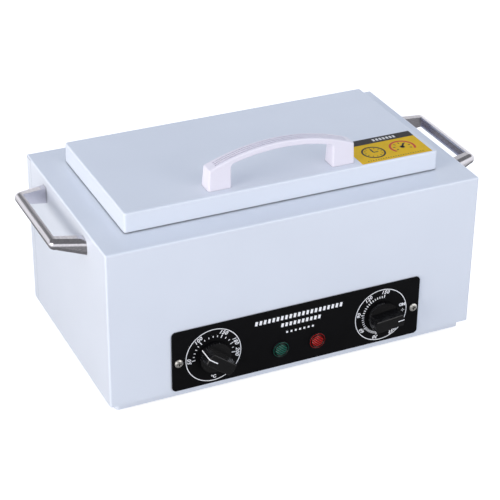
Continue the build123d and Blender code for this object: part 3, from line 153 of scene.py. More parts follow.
def grid_faces(rows, columns, wrap_rows=False, wrap_columns=False):
    """Quads between neighbouring points of a grid that is stored row by row."""
    index = np.arange(rows * columns).reshape(rows, columns)
    if wrap_rows:
        index = np.vstack([index, index[:1]])
    if wrap_columns:
        index = np.hstack([index, index[:, :1]])
    quads = np.stack([index[:-1, :-1], index[:-1, 1:], index[1:, 1:], index[1:, :-1]], axis=-1)
    return quads.reshape(-1, 4).tolist()


def joined(parts):
    """One list of points and one of faces from several."""
    points, faces, start = [], [], 0
    for some_points, some_faces in parts:
        points.append(np.asarray(some_points, float).reshape(-1, 3))
        faces.extend([[i + start for i in face] for face in some_faces])
        start += len(points[-1])
    return np.vstack(points), faces


def piece(name, points, faces, body, finish, smooth=False, replaces=()):
    """Makes a mesh object that rides on a body, takes a slot's finish and may stand for nodes."""
    mesh = bpy.data.meshes.new(name)
    mesh.from_pydata(np.asarray(points, float).tolist(), [], faces)
    mesh.validate()
    mesh.update()
    obj = bpy.data.objects.new(name, mesh)
    bpy.context.scene.collection.objects.link(obj)
    mesh.materials.append(finish)
    outward(mesh)
    if smooth:
        mesh.shade_smooth()
    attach(obj, body)
    if replaces:
        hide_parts(*replaces)
    return obj


def outward(mesh):
    """Turns the faces of closed shells outwards."""
    work = bmesh.new()
    work.from_mesh(mesh)
    bmesh.ops.recalc_face_normals(work, faces=work.faces)
    work.to_mesh(mesh)
    work.free()


def prism(outline, low, high):
    """A closed plate: an outline of (u, v) points, carried from one height to another."""
    outline = np.asarray(outline, float)
    count = len(outline)
    bottom = np.column_stack([outline, np.full(count, low)])
    top = np.column_stack([outline, np.full(count, high)])
    ring = np.arange(count)
    after = np.roll(ring, -1)
    sides = np.column_stack([ring, after, after + count, ring + count]).tolist()
    faces = [ring[::-1].tolist(), (ring + count).tolist()] + sides
    return np.vstack([bottom, top]), faces


def strip_faces(places, closed=False):
    """Faces of a four-sided profile carried through some places, capped unless it closes."""
    faces = grid_faces(places, 4, wrap_rows=closed, wrap_columns=True)
    if not closed:
        last = (places - 1) * 4
        faces += [[0, 1, 2, 3], [last + 3, last + 2, last + 1, last]]
    return faces


def band(inner, outer, start, end, low, high, steps):
    """Part of a flat ring: a rectangle of radius and height carried round an arc, in degrees."""
    closed = abs(abs(end - start) - 360) < 1e-6
    angles = np.radians(np.linspace(start, end, steps, endpoint=not closed))
    radius = np.array([inner, outer, outer, inner])
    height = np.array([low, low, high, high])
    points = np.stack(
        [
            np.outer(np.cos(angles), radius),
            np.outer(np.sin(angles), radius),
            np.tile(height, (steps, 1)),
        ],
        axis=-1,
    ).reshape(-1, 3)
    return points, strip_faces(steps, closed)


def polar(radius, degrees):
    """Places on a circle: its radius times the cosine and the sine of each angle."""
    turn = np.radians(np.asarray(degrees, float))
    return np.stack([radius * np.cos(turn), radius * np.sin(turn)], axis=-1)


def bars(middles, directions, lengths, widths, low, high):
    """Flat bars, each with its middle, its direction in degrees, its length and its width.

    A single direction, length or width stands for all bars.
    """
    middles = np.asarray(middles, float)
    count = len(middles)
    turn = np.radians(np.broadcast_to(np.asarray(directions, float), count))
    half_length = np.broadcast_to(np.asarray(lengths, float), count)[:, None] / 2
    half_width = np.broadcast_to(np.asarray(widths, float), count)[:, None] / 2
    along = np.column_stack([np.cos(turn), np.sin(turn)]) * half_length
    across = np.column_stack([-np.sin(turn), np.cos(turn)]) * half_width
    corners = np.stack(
        [middles - along - across, middles + along - across, middles + along + across,
         middles - along + across], axis=1
    )
    base = np.concatenate([corners, np.full((*corners.shape[:2], 1), low)], axis=2)
    roof = np.concatenate([corners, np.full((*corners.shape[:2], 1), high)], axis=2)
    points = np.concatenate([base, roof], axis=1).reshape(-1, 3)
    cube = np.array(
        [[3, 2, 1, 0], [4, 5, 6, 7], [0, 1, 5, 4], [1, 2, 6, 5], [2, 3, 7, 6], [3, 0, 4, 7]]
    )
    faces = (cube[None] + 8 * np.arange(count)[:, None, None]).reshape(-1, 4).tolist()
    return points, faces


def placed(points, origin, across, up):
    """Moves points given along two directions and their normal to a place in the object."""
    across, up = Vector(across), Vector(up)
    axes = np.array([across, up, across.cross(up)])
    return np.asarray(points, float) @ axes + np.array(origin)


def front_places(points, origin):
    """Points drawn as seen from the front, raised towards the front."""
    return placed(points, origin, (1, 0, 0), (0, 0, 1))


def words(text, height, slant=0.0, bold=0.0, spacing=1.0):
    """The outline of a few characters as a flat closed mesh, centred on its own origin."""
    curve = bpy.data.curves.new("words", "FONT")
    curve.body = text
    curve.size = height / CAPITAL_SHARE
    curve.shear = slant
    curve.offset = bold
    curve.space_character = spacing
    curve.extrude = sizes().ink / 2
    curve.align_x, curve.align_y = "CENTER", "CENTER"
    curve.resolution_u = 4
    holder = bpy.data.objects.new("words", curve)
    mesh = bpy.data.meshes.new_from_object(holder)
    points = np.zeros(len(mesh.vertices) * 3)
    mesh.vertices.foreach_get("co", points)
    points = points.reshape(-1, 3)
    points[:, 2] += sizes().ink / 2
    faces = [list(polygon.vertices) for polygon in mesh.polygons]
    bpy.data.objects.remove(holder)
    bpy.data.curves.remove(curve)
    bpy.data.meshes.remove(mesh)
    return points, faces


def turned(points, angle, shift):
    """Points turned in their own plane, in degrees, and then shifted."""
    turn = radians(angle)
    matrix = np.array([[cos(turn), sin(turn), 0], [-sin(turn), cos(turn), 0], [0, 0, 1]])
    return points @ matrix + np.array([*shift, 0])


# ---- finishes ----

def put(tree, kind, sockets=(), links=(), **settings):
    """Adds one shader node with its own settings, its socket values and what feeds it."""
    node = tree.nodes.new(kind)
    for key, value in settings.items():
        setattr(node, key, value)
    for key, value in dict(sockets).items():
        node.inputs[key].default_value = value
    for key, source in dict(links).items():
        tree.links.new(source, node.inputs[key])
    return node


def per(size_mm):
    """A noise scale whose cells are so many millimetres."""
    return 1 / (size_mm * MM)


def new_finish(name, **sockets):
    """A material with one principled shader, and the object's own coordinates."""
    finish = bpy.data.materials.new(name)
    finish.use_nodes = True
    tree = finish.node_tree
    shader = tree.nodes["Principled BSDF"]
    for key, value in sockets.items():
        shader.inputs[key.replace("_", " ")].default_value = value
    place = put(tree, "ShaderNodeTexCoord").outputs["Object"]
    return finish, tree, shader, place


def mottle(tree, place, target, scale, low, high):
    """Drives a socket between two values with soft noise."""
    noise = put(tree, "ShaderNodeTexNoise", {"Scale": scale, "Detail": 2.0}, {"Vector": place})
    ramp = put(
        tree, "ShaderNodeMapRange", {**NOISE_SPAN, "To Min": low, "To Max": high},
        {"Value": noise.outputs["Fac"]},
    )
    tree.links.new(ramp.outputs["Result"], target)


def tint(tree, place, shader, scale, first, second, detail=2.0):
    """Lets the base colour drift between two close colours."""
    noise = put(tree, "ShaderNodeTexNoise", {"Scale": scale, "Detail": detail}, {"Vector": place})
    ramp = put(tree, "ShaderNodeMapRange", NOISE_SPAN, {"Value": noise.outputs["Fac"]})
    mix = put(
        tree, "ShaderNodeMix", {6: first, 7: second}, {0: ramp.outputs["Result"]}, data_type="RGBA"
    )
    tree.links.new(mix.outputs[2], shader.inputs["Base Color"])
    return mix


def grain(tree, place, shader, scale, depth_mm, strength, detail=2.0):
    """A fine surface relief from noise."""
    noise = put(tree, "ShaderNodeTexNoise", {"Scale": scale, "Detail": detail}, {"Vector": place})
    bump = put(
        tree, "ShaderNodeBump", {"Strength": strength, "Distance": depth_mm * MM},
        {"Height": noise.outputs["Fac"]},
    )
    tree.links.new(bump.outputs["Normal"], shader.inputs["Normal"])


def crevices(tree, mix, shader, reach_mm, dark):
    """Paints shade into the colour: darkens it where surfaces close in, in a groove or a gap."""
    # How close other surfaces come sets how much painted shade the colour takes.
    open_sky = put(tree, "ShaderNodeAmbientOcclusion", {"Distance": reach_mm * MM}).outputs["AO"]
    level = put(
        tree, "ShaderNodeMapRange",
        {"From Min": 0.1, "From Max": 0.85, "To Min": dark, "To Max": 1.0}, {"Value": open_sky},
    )
    scaled = put(
        tree, "ShaderNodeVectorMath", (), {0: mix.outputs[2], 3: level.outputs["Result"]},
        operation="SCALE",
    )
    tree.links.new(scaled.outputs[0], shader.inputs["Base Color"])


def shade(colour, factor):
    """A colour made darker or lighter, for a socket."""
    return (*[min(1.0, part * factor) for part in colour[:3]], 1.0)


def stretched(tree, place, scale):
    """Coordinates scaled axis by axis: noise is drawn out along an axis whose scale is small."""
    return put(tree, "ShaderNodeMapping", {"Scale": scale}, {"Vector": place}).outputs["Vector"]


def baked_enamel():
    """Baked enamel on steel sheet: cool white and glossy.

    Its colour drifts over 90 mm and its sheen over 25 mm, and gaps of a few mm are darkened with
    painted shade.
    """
    finish, tree, shader, place = new_finish(
        "baked_enamel", Roughness=0.3, IOR=1.5, Coat_Weight=0.2, Coat_Roughness=0.1
    )
    base = colours().enamel
    mix = tint(tree, place, shader, per(90), shade(base, 1.0), shade(base, 0.975))
    # Painted shade: the colour turns dark in gaps, such as the one under the lid's edge.
    crevices(tree, mix, shader, reach_mm=2.5, dark=0.35)
    mottle(tree, place, shader.inputs["Roughness"], per(25), low=0.29, high=0.36)
    return finish


def moulded_abs():
    """Moulded ABS: warm white, satin, with a fine spark-eroded grain of 0.6 mm.

    Painted shade makes its grooves a little darker than its open faces.
    """
    finish, tree, shader, place = new_finish("moulded_abs", Roughness=0.36, IOR=1.53)
    base = colours().handle
    mix = tint(tree, place, shader, per(30), shade(base, 1.0), shade(base, 0.97))
    # Painted shade: the colour darkens inside the grooves.
    crevices(tree, mix, shader, reach_mm=1.5, dark=0.82)
    grain(tree, place, shader, per(0.6), depth_mm=0.015, strength=0.2)
    return finish


def black_lacquer():
    """Matt black lacquer on a metal plate: deep, hardly any sheen, with a fine 0.5 mm grain."""
    finish, tree, shader, place = new_finish(
        "black_lacquer", Roughness=0.45, IOR=1.5, Specular_IOR_Level=0.1
    )
    base = colours().panel
    tint(tree, place, shader, per(12), shade(base, 1.0), shade(base, 1.35))
    mottle(tree, place, shader.inputs["Roughness"], per(4), low=0.45, high=0.58)
    grain(tree, place, shader, per(0.5), depth_mm=0.012, strength=0.2)
    return finish


def moulded_resin(name, first, second, rough, gloss=0.5):
    """Pressed phenolic resin or moulded nylon: half glossy, faintly cloudy, with a 1 mm grain."""
    finish, tree, shader, place = new_finish(
        name, Roughness=rough, IOR=1.58, Specular_IOR_Level=gloss
    )
    tint(tree, place, shader, per(6), first, second)
    grain(tree, place, shader, per(1.0), depth_mm=0.02, strength=0.25)
    return finish


def screen_ink(name, colour):
    """Screen-printed ink: matt, slightly uneven where the mesh of the screen laid it down."""
    finish, tree, shader, place = new_finish(name, Roughness=0.55, IOR=1.5)
    tint(tree, place, shader, per(1.5), shade(colour, 1.0), shade(colour, 0.9))
    return finish


def brushed_metal(name, first, second, rough, streaks):
    """Brushed or drawn metal: streaks up to 1 mm wide run along the axis of the small scale."""
    finish, tree, shader, place = new_finish(name, Metallic=1.0, Roughness=rough)
    along = stretched(tree, place, streaks)
    tint(tree, along, shader, per(1.0), first, second, detail=3.0)
    mottle(
        tree, along, shader.inputs["Roughness"], per(0.8), low=rough - 0.04, high=rough + 0.05
    )
    grain(tree, along, shader, per(0.6), depth_mm=0.002, strength=0.15, detail=3.0)
    return finish


def small_metal(name, first, second, rough):
    """Small plated or drawn metal parts: bright, slightly cloudy, with painted shade that turns
    their recesses dark.
    """
    finish, tree, shader, place = new_finish(name, Metallic=1.0, Roughness=rough)
    mix = tint(tree, place, shader, per(1.6), first, second)
    # Painted shade: the colour turns almost black inside recesses such as a screw's cross.
    crevices(tree, mix, shader, reach_mm=2.2, dark=0.03)
    grain(tree, place, shader, per(0.5), depth_mm=0.01, strength=0.3)
    return finish


def acrylic(name, colour):
    """Moulded acrylic lens: deep colour under a glossy skin, with painted highlights along each
    rib and the rim and painted shade elsewhere.
    """
    finish, tree, shader, _ = new_finish(name, Roughness=0.12, IOR=1.49, Specular_IOR_Level=0.3)
    # The mesh attribute holds painted light and shade: 1 gives the full colour as a painted
    # highlight, 0 an almost black painted shade.
    painted_light = put(tree, "ShaderNodeAttribute", attribute_name="painted_lens_light").outputs["Fac"]
    mix = put(
        tree, "ShaderNodeMix", {6: shade(colour, 0.02), 7: shade(colour, 1.0)}, {0: painted_light},
        data_type="RGBA",
    )
    tree.links.new(mix.outputs[2], shader.inputs["Base Color"])
    return finish


def galvanised():
    """Galvanised steel: grey zinc with flat crystals about 6 mm across."""
    finish, tree, shader, place = new_finish("galvanised_steel", Metallic=0.9, Roughness=0.42)
    cells = put(tree, "ShaderNodeTexVoronoi", {"Scale": per(6)}, {"Vector": place})
    mix = put(
        tree, "ShaderNodeMix", {6: paint("#8E9294"), 7: paint("#A9ADAF")},
        {0: cells.outputs["Distance"]}, data_type="RGBA",
    )
    tree.links.new(mix.outputs[2], shader.inputs["Base Color"])
    grain(tree, place, shader, per(3), depth_mm=0.02, strength=0.2)
    return finish


def mineral_wool():
    """Pressed mineral wool: dull straw colour, fibres about 1 mm wide lying in layers."""
    finish, tree, shader, place = new_finish("mineral_wool", Roughness=0.95, Sheen_Weight=0.3)
    layered = stretched(tree, place, (0.3, 0.3, 1.0))
    tint(tree, layered, shader, per(1.0), paint("#B9A978"), paint("#D8CDA2"), detail=6.0)
    grain(tree, layered, shader, per(0.9), depth_mm=0.5, strength=0.8, detail=6.0)
    return finish


def moulded_rubber(name, first, second):
    """Moulded rubber or silicone: matt, with a soft 0.8 mm grain."""
    finish, tree, shader, place = new_finish(name, Roughness=0.7, IOR=1.5)
    tint(tree, place, shader, per(5), first, second)
    grain(tree, place, shader, per(0.8), depth_mm=0.03, strength=0.4)
    return finish


def vinyl_film(name, colour):
    """Printed vinyl film: saturated, with little gloss and a faint ripple of 5 mm."""
    finish, tree, shader, place = new_finish(name, Roughness=0.5, IOR=1.48, Specular_IOR_Level=0.2)
    tint(tree, place, shader, per(9), shade(colour, 1.0), shade(colour, 0.93))
    grain(tree, place, shader, per(5), depth_mm=0.03, strength=0.2)
    return finish


# ---- operators ----

def dress(nodes, finish):
    """Gives CAD nodes their finish."""
    for name in nodes:
        mesh = frame["nodes"][name].data
        mesh.materials.clear()
        mesh.materials.append(finish)


class STERILIZER_OT_finishes(bpy.types.Operator):
    """Gives every carried-over piece its real finish"""

    bl_idname = "sterilizer.finishes"
    bl_label = "Finishes"

    def execute(self, context):
        by_slot = {}
        for entry in frame["record"]["subparts"]:
            by_slot.setdefault(entry["material_slot"], []).append(entry["node"])
        knob = colours().knob
        finishes = {
            "white_enamel": baked_enamel(),
            "handle_plastic": moulded_abs(),
            "panel_black": black_lacquer(),
            "knob_black": moulded_resin(
                "black_phenolic", shade(knob, 1.0), shade(knob, 1.4), 0.24, 0.4),
            "lamp_green": acrylic("green_acrylic", colours().green),
            "lamp_red": acrylic("red_acrylic", colours().red),
            "lamp_bezel": moulded_resin(
                "lamp_body_nylon", paint("#151518"), paint("#1D1D20"), 0.4),
            "satin_nickel": brushed_metal(
                "satin_nickel", paint("#DDDBE2"), paint("#CDCBD4"), 0.19, (1.0, 0.03, 1.0)),
            "screw_steel": small_metal(
                "zinc_plated_steel", paint("#F4F3F0"), paint("#DCDAD6"), 0.4),
            "hinge_steel": brushed_metal(
                "nickel_plated_hinge", paint("#B9B8B5"), paint("#A3A3A2"), 0.3, (0.05, 1.0, 1.0)),
            "stainless": brushed_metal(
                "drawn_stainless_steel", paint("#D2D3D4"), paint("#BFC1C3"), 0.38,
                (0.04, 1.0, 1.0)),
            "galvanised": galvanised(),
            "heater_aluminium": brushed_metal(
                "rolled_aluminium", paint("#BEBFC1"), paint("#ABACAF"), 0.36, (0.05, 1.0, 1.0)),
            "mineral_wool": mineral_wool(),
            "silicone": moulded_rubber("red_silicone", paint("#7E2A1E"), paint("#8E3426")),
            "foot_rubber": moulded_rubber("black_rubber", paint("#1C1C1D"), paint("#242426")),
            "switch_plastic": moulded_resin(
                "brown_phenolic", paint("#2E2722"), paint("#3A312A"), 0.45),
            "inlet_plastic": moulded_resin(
                "black_nylon", paint("#161617"), paint("#1F1F21"), 0.42),
            "block_plastic": moulded_resin(
                "white_polyamide", paint("#D6D4CA"), paint("#C9C7BD"), 0.5),
            "contact_brass": small_metal("drawn_brass", paint("#C9A456"), paint("#B48F46"), 0.3),
            "copper": small_metal("drawn_copper", paint("#B87352"), paint("#A5624A"), 0.32),
        }
        for slot, nodes in by_slot.items():
            dress(nodes, finishes[slot])
        return {"FINISHED"}


def panel_ink():
    """The white ink shared by every print on the panel."""
    name = "white_screen_ink"
    return bpy.data.materials.get(name) or screen_ink(name, colours().print)


def print_on_panel(name, parts, x=0.0, z=0.0):
    """Lays inked shapes, drawn about a point of the panel's face, as one piece."""
    points, faces = joined(parts)
    place = front_places(points, (x, PANEL_FACE, z))
    piece(name, place, faces, "cabinet", panel_ink())


def dial_ticks(angles, start, length, width):
    """Radial ticks: bars whose middles lie on a circle, each turned to its own angle."""
    return bars(polar(start + length / 2, angles), angles, length, width, 0, sizes().ink)


def dial_numbers(labels, radius, height):
    """Numbers set round a circle, with their feet towards its middle."""
    parts = []
    for text, angle in labels:
        points, faces = words(text, height, slant=0.25, bold=0.14 * MM, spacing=1.16)
        parts.append((turned(points, angle - 90, polar(radius, angle)), faces))
    return parts


def dial_ring():
    """The line printed round a dial."""
    half = sizes().ring_width / 2
    return band(sizes().ring - half, sizes().ring + half, 0, 360, 0, sizes().ink, 128)


def minor_angles(first, last, count):
    """Angles of the ticks between two main ones."""
    return np.linspace(first, last, count + 2)[1:-1]


class STERILIZER_OT_temperature_print(bpy.types.Operator):
    """Prints the temperature dial: a ring, ticks and plain numbers"""

    bl_idname = "sterilizer.temperature_print"
    bl_label = "Temperature print"

    def execute(self, context):
        size = sizes()
        # Where each number's tick points, in degrees anticlockwise from the right.
        numbers = {"50": 184.3, "100": 129.0, "150": 65.8, "180": 24.3, "200": -5.2}
        main = list(numbers.values())
        # Minor ticks between two main ones: one for every 10 degrees C.
        counts = [4, 4, 2, 1]
        minor = np.concatenate([minor_angles(*span) for span in zip(main, main[1:], counts)])
        minor_start = size.tick_start + 0.6 * MM
        unit, unit_faces = words("°C", size.number_height * 0.7, bold=0.15 * MM)
        unit_spot = (0, -23.4 * MM)
        print_on_panel("temperature_print", [
            dial_ring(),
            dial_ticks(main, size.tick_start, size.tick_length, size.tick_width),
            dial_ticks(minor, minor_start, 1.8 * MM, 0.8 * MM),
            *dial_numbers(numbers.items(), 23.7 * MM, size.number_height * 0.8),
            (turned(unit, 0, unit_spot), unit_faces),
        ], TEMPERATURE.x, TEMPERATURE.z)
        return {"FINISHED"}


class STERILIZER_OT_timer_print(bpy.types.Operator):
    """Prints the timer dial: a ring, minute ticks, plain numbers and ON and OFF"""

    bl_idname = "sterilizer.timer_print"
    bl_label = "Timer print"

    def execute(self, context):
        size = sizes()
        # The scale runs clockwise from OFF, by so many degrees a minute.
        off_angle, per_minute = -57.5, 44.2 / 30

        def at(minutes):
            """The angle of a time on the scale."""
            return off_angle - per_minute * minutes

        # Fine ticks stand every 2.5 minutes up to 60, and coarse ones every 5 after that.
        main = np.arange(30, 151, 30)
        fine = np.arange(32.5, 60, 2.5)
        coarse = np.arange(65, 150, 5)
        coarse = coarse[coarse % 30 != 0]
        numbers = [(str(minutes), at(minutes)) for minutes in main] + [("OFF", off_angle + 2)]
        on, on_faces = words("ON", size.number_height * 0.62, bold=0.3 * MM)
        on_spot = polar(23.2 * MM, 14.0)
        # A small cross of four rays stands between ON and OFF.
        rays, ray = np.arange(0, 360, 90), 1.2 * MM
        ray_middles = polar(ray, rays) + np.array([23.4 * MM, -0.4 * MM])
        print_on_panel("timer_print", [
            dial_ring(),
            dial_ticks(at(main), size.tick_start, size.tick_length, size.tick_width),
            dial_ticks(at(fine), size.tick_start, 2.4 * MM, 0.55 * MM),
            dial_ticks(at(coarse), size.tick_start, 2.3 * MM, 0.9 * MM),
            *dial_numbers(numbers, 23.9 * MM, size.number_height * 0.75),
            (turned(on, 0, on_spot), on_faces),
            bars(ray_middles, rays, ray, 0.5 * MM, 0, size.ink),
        ], TIMER.x, TIMER.z)
        return {"FINISHED"}


class STERILIZER_OT_panel_rules(bpy.types.Operator):
    """Prints a plain ornament of three rows of small blocks above the lamps"""

    bl_idname = "sterilizer.panel_rules"
    bl_label = "Panel rules"

    def execute(self, context):
        # Each row's middle, its height above the floor, how many blocks it has, their pitch,
        # and a block's width and height. All but the count are in mm.
        rows = (
            (0.5, 66.8, 21, 4.32, 2.5, 4.4),
            (2.6, 59.0, 10, 4.2, 2.5, 4.0),
            (1.8, 50.6, 7, 4.4, 1.9, 2.0),
        )
        lean = 80.0  # degrees from level
        parts = []
        for middle, level, count, pitch, wide, tall in rows:
            x = (middle + (np.arange(count) - (count - 1) / 2) * pitch) * MM
            z = np.full(count, level * MM)
            middles = np.column_stack([x, z])
            parts.append(bars(middles, lean, tall * MM, wide * MM, 0, sizes().ink))
        print_on_panel("panel_rules", parts)
        return {"FINISHED"}


def pointer_strip(knob, body, angle, inner):
    """A thin white line: a strip carried along a path over the grip's front and down its end."""
    low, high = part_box(knob)
    middle = centre(knob)
    front = high.y - low.y
    reach = (high.x - low.x) / 2
    # It stands a little proud of the grip, bends round its edge and stops short of its back.
    edge, lift, thick, stop = 0.8 * MM, 0.03 * MM, 0.12 * MM, 1.4 * MM
    bend = np.linspace(0, pi / 2, 7)
    path = np.vstack([
        [[inner, front + lift]],
        np.column_stack([reach - edge + (edge + lift) * np.sin(bend),
                         front - edge + (edge + lift) * np.cos(bend)]),
        [[reach + lift, stop]],
    ])
    under = path - thick
    half = sizes().pointer_width / 2
    profile = [(path, -half), (path, half), (under, half), (under, -half)]
    points = np.stack(
        [
            np.column_stack([line[:, 0], np.full(len(line), side), line[:, 1]])
            for line, side in profile
        ],
        axis=1,
    ).reshape(-1, 3)
    turn = radians(angle)
    along = Vector((cos(turn), 0, sin(turn)))
    across = Vector((-sin(turn), 0, cos(turn)))
    place = placed(points, (middle.x, high.y, middle.z), along, across)
    name = knob.replace("knob", "pointer")
    piece(name, place, strip_faces(len(path)), body, panel_ink())


class STERILIZER_OT_pointers(bpy.types.Operator):
    """Adds the white pointer line of each knob"""

    bl_idname = "sterilizer.pointers"
    bl_label = "Pointers"

    def execute(self, context):
        pointer_strip("temperature_knob", "temperature_control", 143.0, 5.0 * MM)
        pointer_strip("timer_knob", "timer_control", 5.4, 8.5 * MM)
        return {"FINISHED"}


def ribbed_lens(node, finish):
    """A lens: a profile of dome, groove and rim turned round, with cosine ribs across the dome."""
    low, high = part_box(node)
    middle = centre(node)
    depth = high.y - low.y
    spokes = 96
    inset = 0.5 * MM  # how much smaller it is all round than the plain lens
    outer = (high.x - low.x) / 2 - inset
    dome, dome_edge = 6.0 * MM, 1.4 * MM
    dome_radius = np.linspace(0, dome, 34)[1:]
    crown = depth - (depth - dome_edge) * (dome_radius / dome) ** 2
    # Radius and height, in mm, of the groove, the rim and the narrower foot behind it.
    side = outer / MM
    border = np.array([
        (6.1, 1.0), (6.2, 0.72), (6.6, 0.72), (6.9, 0.8),
        (7.1, 1.2), (7.3, 1.38), (7.5, 1.38), (7.7, 1.25), (side, 1.1), (side, 0.62),
        (6.7, 0.62), (6.7, 0.0),
    ]) * MM
    radius = np.concatenate([dome_radius, border[:, 0]])
    height = np.concatenate([crown, border[:, 1]])
    angle = np.linspace(0, 2 * pi, spokes, endpoint=False)
    u = radius[:, None] * np.cos(angle)
    v = radius[:, None] * np.sin(angle)
    lean, rib_depth, fade = radians(50), 0.7 * MM, 0.5 * MM
    ribs = (1 + np.cos(2 * pi * (u * cos(lean) + v * sin(lean)) / sizes().rib_pitch)) / 2
    # The ribs fade out at the dome's edge. The groove and the rim have none.
    share = (np.clip((dome - radius) / fade, 0, 1) * (radius <= dome))[:, None]
    level = height[:, None] - rib_depth * (1 - ribs) * share
    shell = np.stack([u, v, level], axis=-1).reshape(-1, 3)
    points = np.vstack([[[0, 0, depth]], shell])
    rings = len(radius)
    fan = np.arange(spokes)
    faces = (np.array(grid_faces(rings, spokes, wrap_columns=True)) + 1).tolist()
    faces += np.column_stack([np.zeros(spokes, int), fan + 1, np.roll(fan, -1) + 1]).tolist()
    faces.append((1 + (rings - 1) * spokes + fan[::-1]).tolist())
    place = (middle.x, high.y, middle.z)
    lens = piece(node + "_ribbed", front_places(points, place), faces, "cabinet", finish,
                 smooth=True, replaces=(node,))
    # How light the painted colour is: painted highlights on each rib's crest, a lower level
    # between the ribs, and a painted highlight along the rim. Off the dome it stays near nought, a
    # painted shade that turns the groove and the flange almost black.
    crest, valley, on_rim = 0.78, 0.22, 0.75
    rim = (np.abs(radius - 7.6 * MM) < 0.15 * MM)[:, None]
    glow = (valley + crest * ribs ** 3) * share + on_rim * rim
    painted_lens_light = np.concatenate([[1.0], glow.ravel()])
    lens.data.attributes.new("painted_lens_light", "FLOAT", "POINT").data.foreach_set("value", painted_lens_light)


class STERILIZER_OT_lenses(bpy.types.Operator):
    """Makes the ribbed lenses of the two lamps"""

    bl_idname = "sterilizer.lenses"
    bl_label = "Lamp lenses"

    def execute(self, context):
        for node, slot, finish in (
            ("green_lens", "lamp_green", "green_acrylic"), ("red_lens", "lamp_red", "red_acrylic")
        ):
            ribbed_lens(node, bpy.data.materials[finish])
        return {"FINISHED"}


def shifted(shape, place):
    """A shape's points moved by some distances, with its faces."""
    points, faces = shape
    return points + np.array(place), faces


class STERILIZER_OT_label(bpy.types.Operator):
    """Lays the yellow vinyl label with a black band and plain pictograms on the lid"""

    bl_idname = "sterilizer.label"
    bl_label = "Lid label"

    def execute(self, context):
        size = sizes()
        wide, deep = size.label_width, size.label_depth
        film, ink = 0.12 * MM, 0.05 * MM
        corner = (78.0 * MM, LID_LOW.y + 1.5 * MM, LID_HIGH.z)
        clock_spot = (21.0 * MM, 18.5 * MM, film)
        gauge_spot = (51.5 * MM, 18.5 * MM, film)

        def lay(name, parts, finish):
            """Lays shapes, drawn from the label's near left corner, on the lid as one piece."""
            points, faces = joined(parts)
            place = placed(points, corner, (1, 0, 0), (0, 1, 0))
            piece(name, place, faces, "lid", finish)

        sheet = [(0, 0), (wide, 0), (wide, deep), (0, deep)]
        lay("label_film", [prism(sheet, 0, film)], vinyl_film("yellow_vinyl", colours().vinyl))

        # The dark band lies along the far edge, and its left end slopes.
        band_deep = 10.5 * MM
        band_low = deep - band_deep
        strip = [(5.5 * MM, band_low), (wide, band_low), (wide, deep), (2.5 * MM, deep)]
        hands = bars(
            [(0, 3.4 * MM), (2.4 * MM, 0)], [90, 0], [6.8 * MM, 4.8 * MM], 1.4 * MM, 0, ink
        )
        clock = joined([
            band(9.9 * MM, 11.6 * MM, 0, 360, 0, ink, 64),
            hands,
            dial_ticks(np.arange(0, 360, 30), 7.4 * MM, 1.6 * MM, 0.8 * MM),
        ])
        hub = polar(2.4 * MM, np.linspace(0, 360, 32, endpoint=False))
        gauge = joined([
            prism(hub, 0, ink),
            bars([(1.8 * MM, 2.6 * MM)], 55, 9.0 * MM, 1.8 * MM, 0, ink),
            dial_ticks(np.arange(-30, 211, 40), 6.8 * MM, 2.4 * MM, 1.0 * MM),
        ])
        # A row of short ticks runs along the near edge.
        rule_x = np.linspace(8 * MM, wide - 8 * MM, 23)
        rule = np.column_stack([rule_x, np.full(len(rule_x), 3.6 * MM)])
        lay("label_black_print", [
            prism(strip, film, film + ink),
            shifted(clock, clock_spot),
            shifted(gauge, gauge_spot),
            shifted(bars(rule, 90, 1.3 * MM, 0.9 * MM, 0, ink), (0, 0, film)),
        ], screen_ink("black_label_ink", linear("#231F26")))

        scale = band(10.6 * MM, 12.8 * MM, -35, 215, 0, ink, 64)
        lay("label_orange_print", [shifted(scale, gauge_spot)],
            screen_ink("orange_label_ink", linear("#D8452A")))

        mark_x = (np.arange(7) * 3.6 + 33.0) * MM
        marks = np.column_stack([mark_x, np.full(len(mark_x), deep - band_deep / 2)])
        lay("label_white_print",
            [bars(marks, 90, 4.4 * MM, 2.2 * MM, film + ink, film + 2 * ink)],
            screen_ink("white_label_ink", linear("#F4F2EC")))
        return {"FINISHED"}


class STERILIZER_OT_stage(bpy.types.Operator):
    """Sets the floor, the soft studio light and the camera"""

    bl_idname = "sterilizer.stage"
    bl_label = "Stage"

    def execute(self, context):
        scene = context.scene
        floor_stage()
        studio_world(scene)
        studio_lamps()
        studio_camera(scene)
        scene.view_settings.view_transform = "Standard"
        return {"FINISHED"}


def either(tree, first, second):
    """The larger of two sockets."""
    return put(
        tree, "ShaderNodeMath", (), {0: first, 1: second}, operation="MAXIMUM"
    ).outputs["Value"]


def blend(tree, value, start, end, first, last):
    """A smooth change from one level to another, while a value goes from start to end."""
    spans = {"From Min": start, "From Max": end, "To Min": first, "To Max": last}
    return put(
        tree, "ShaderNodeMapRange", spans, {"Value": value}, interpolation_type="SMOOTHSTEP"
    ).outputs["Result"]


def ground(tree):
    """What a reflection sees of the floor: dark around the object, white further away."""
    place = put(tree, "ShaderNodeNewGeometry").outputs["Position"]
    away = put(tree, "ShaderNodeVectorMath", (), {0: place}, operation="LENGTH").outputs["Value"]
    level = blend(tree, away, start=0.40, end=0.62, first=0.22, last=1.0)
    return put(tree, "ShaderNodeEmission", {"Color": WHITE}, {"Strength": level})


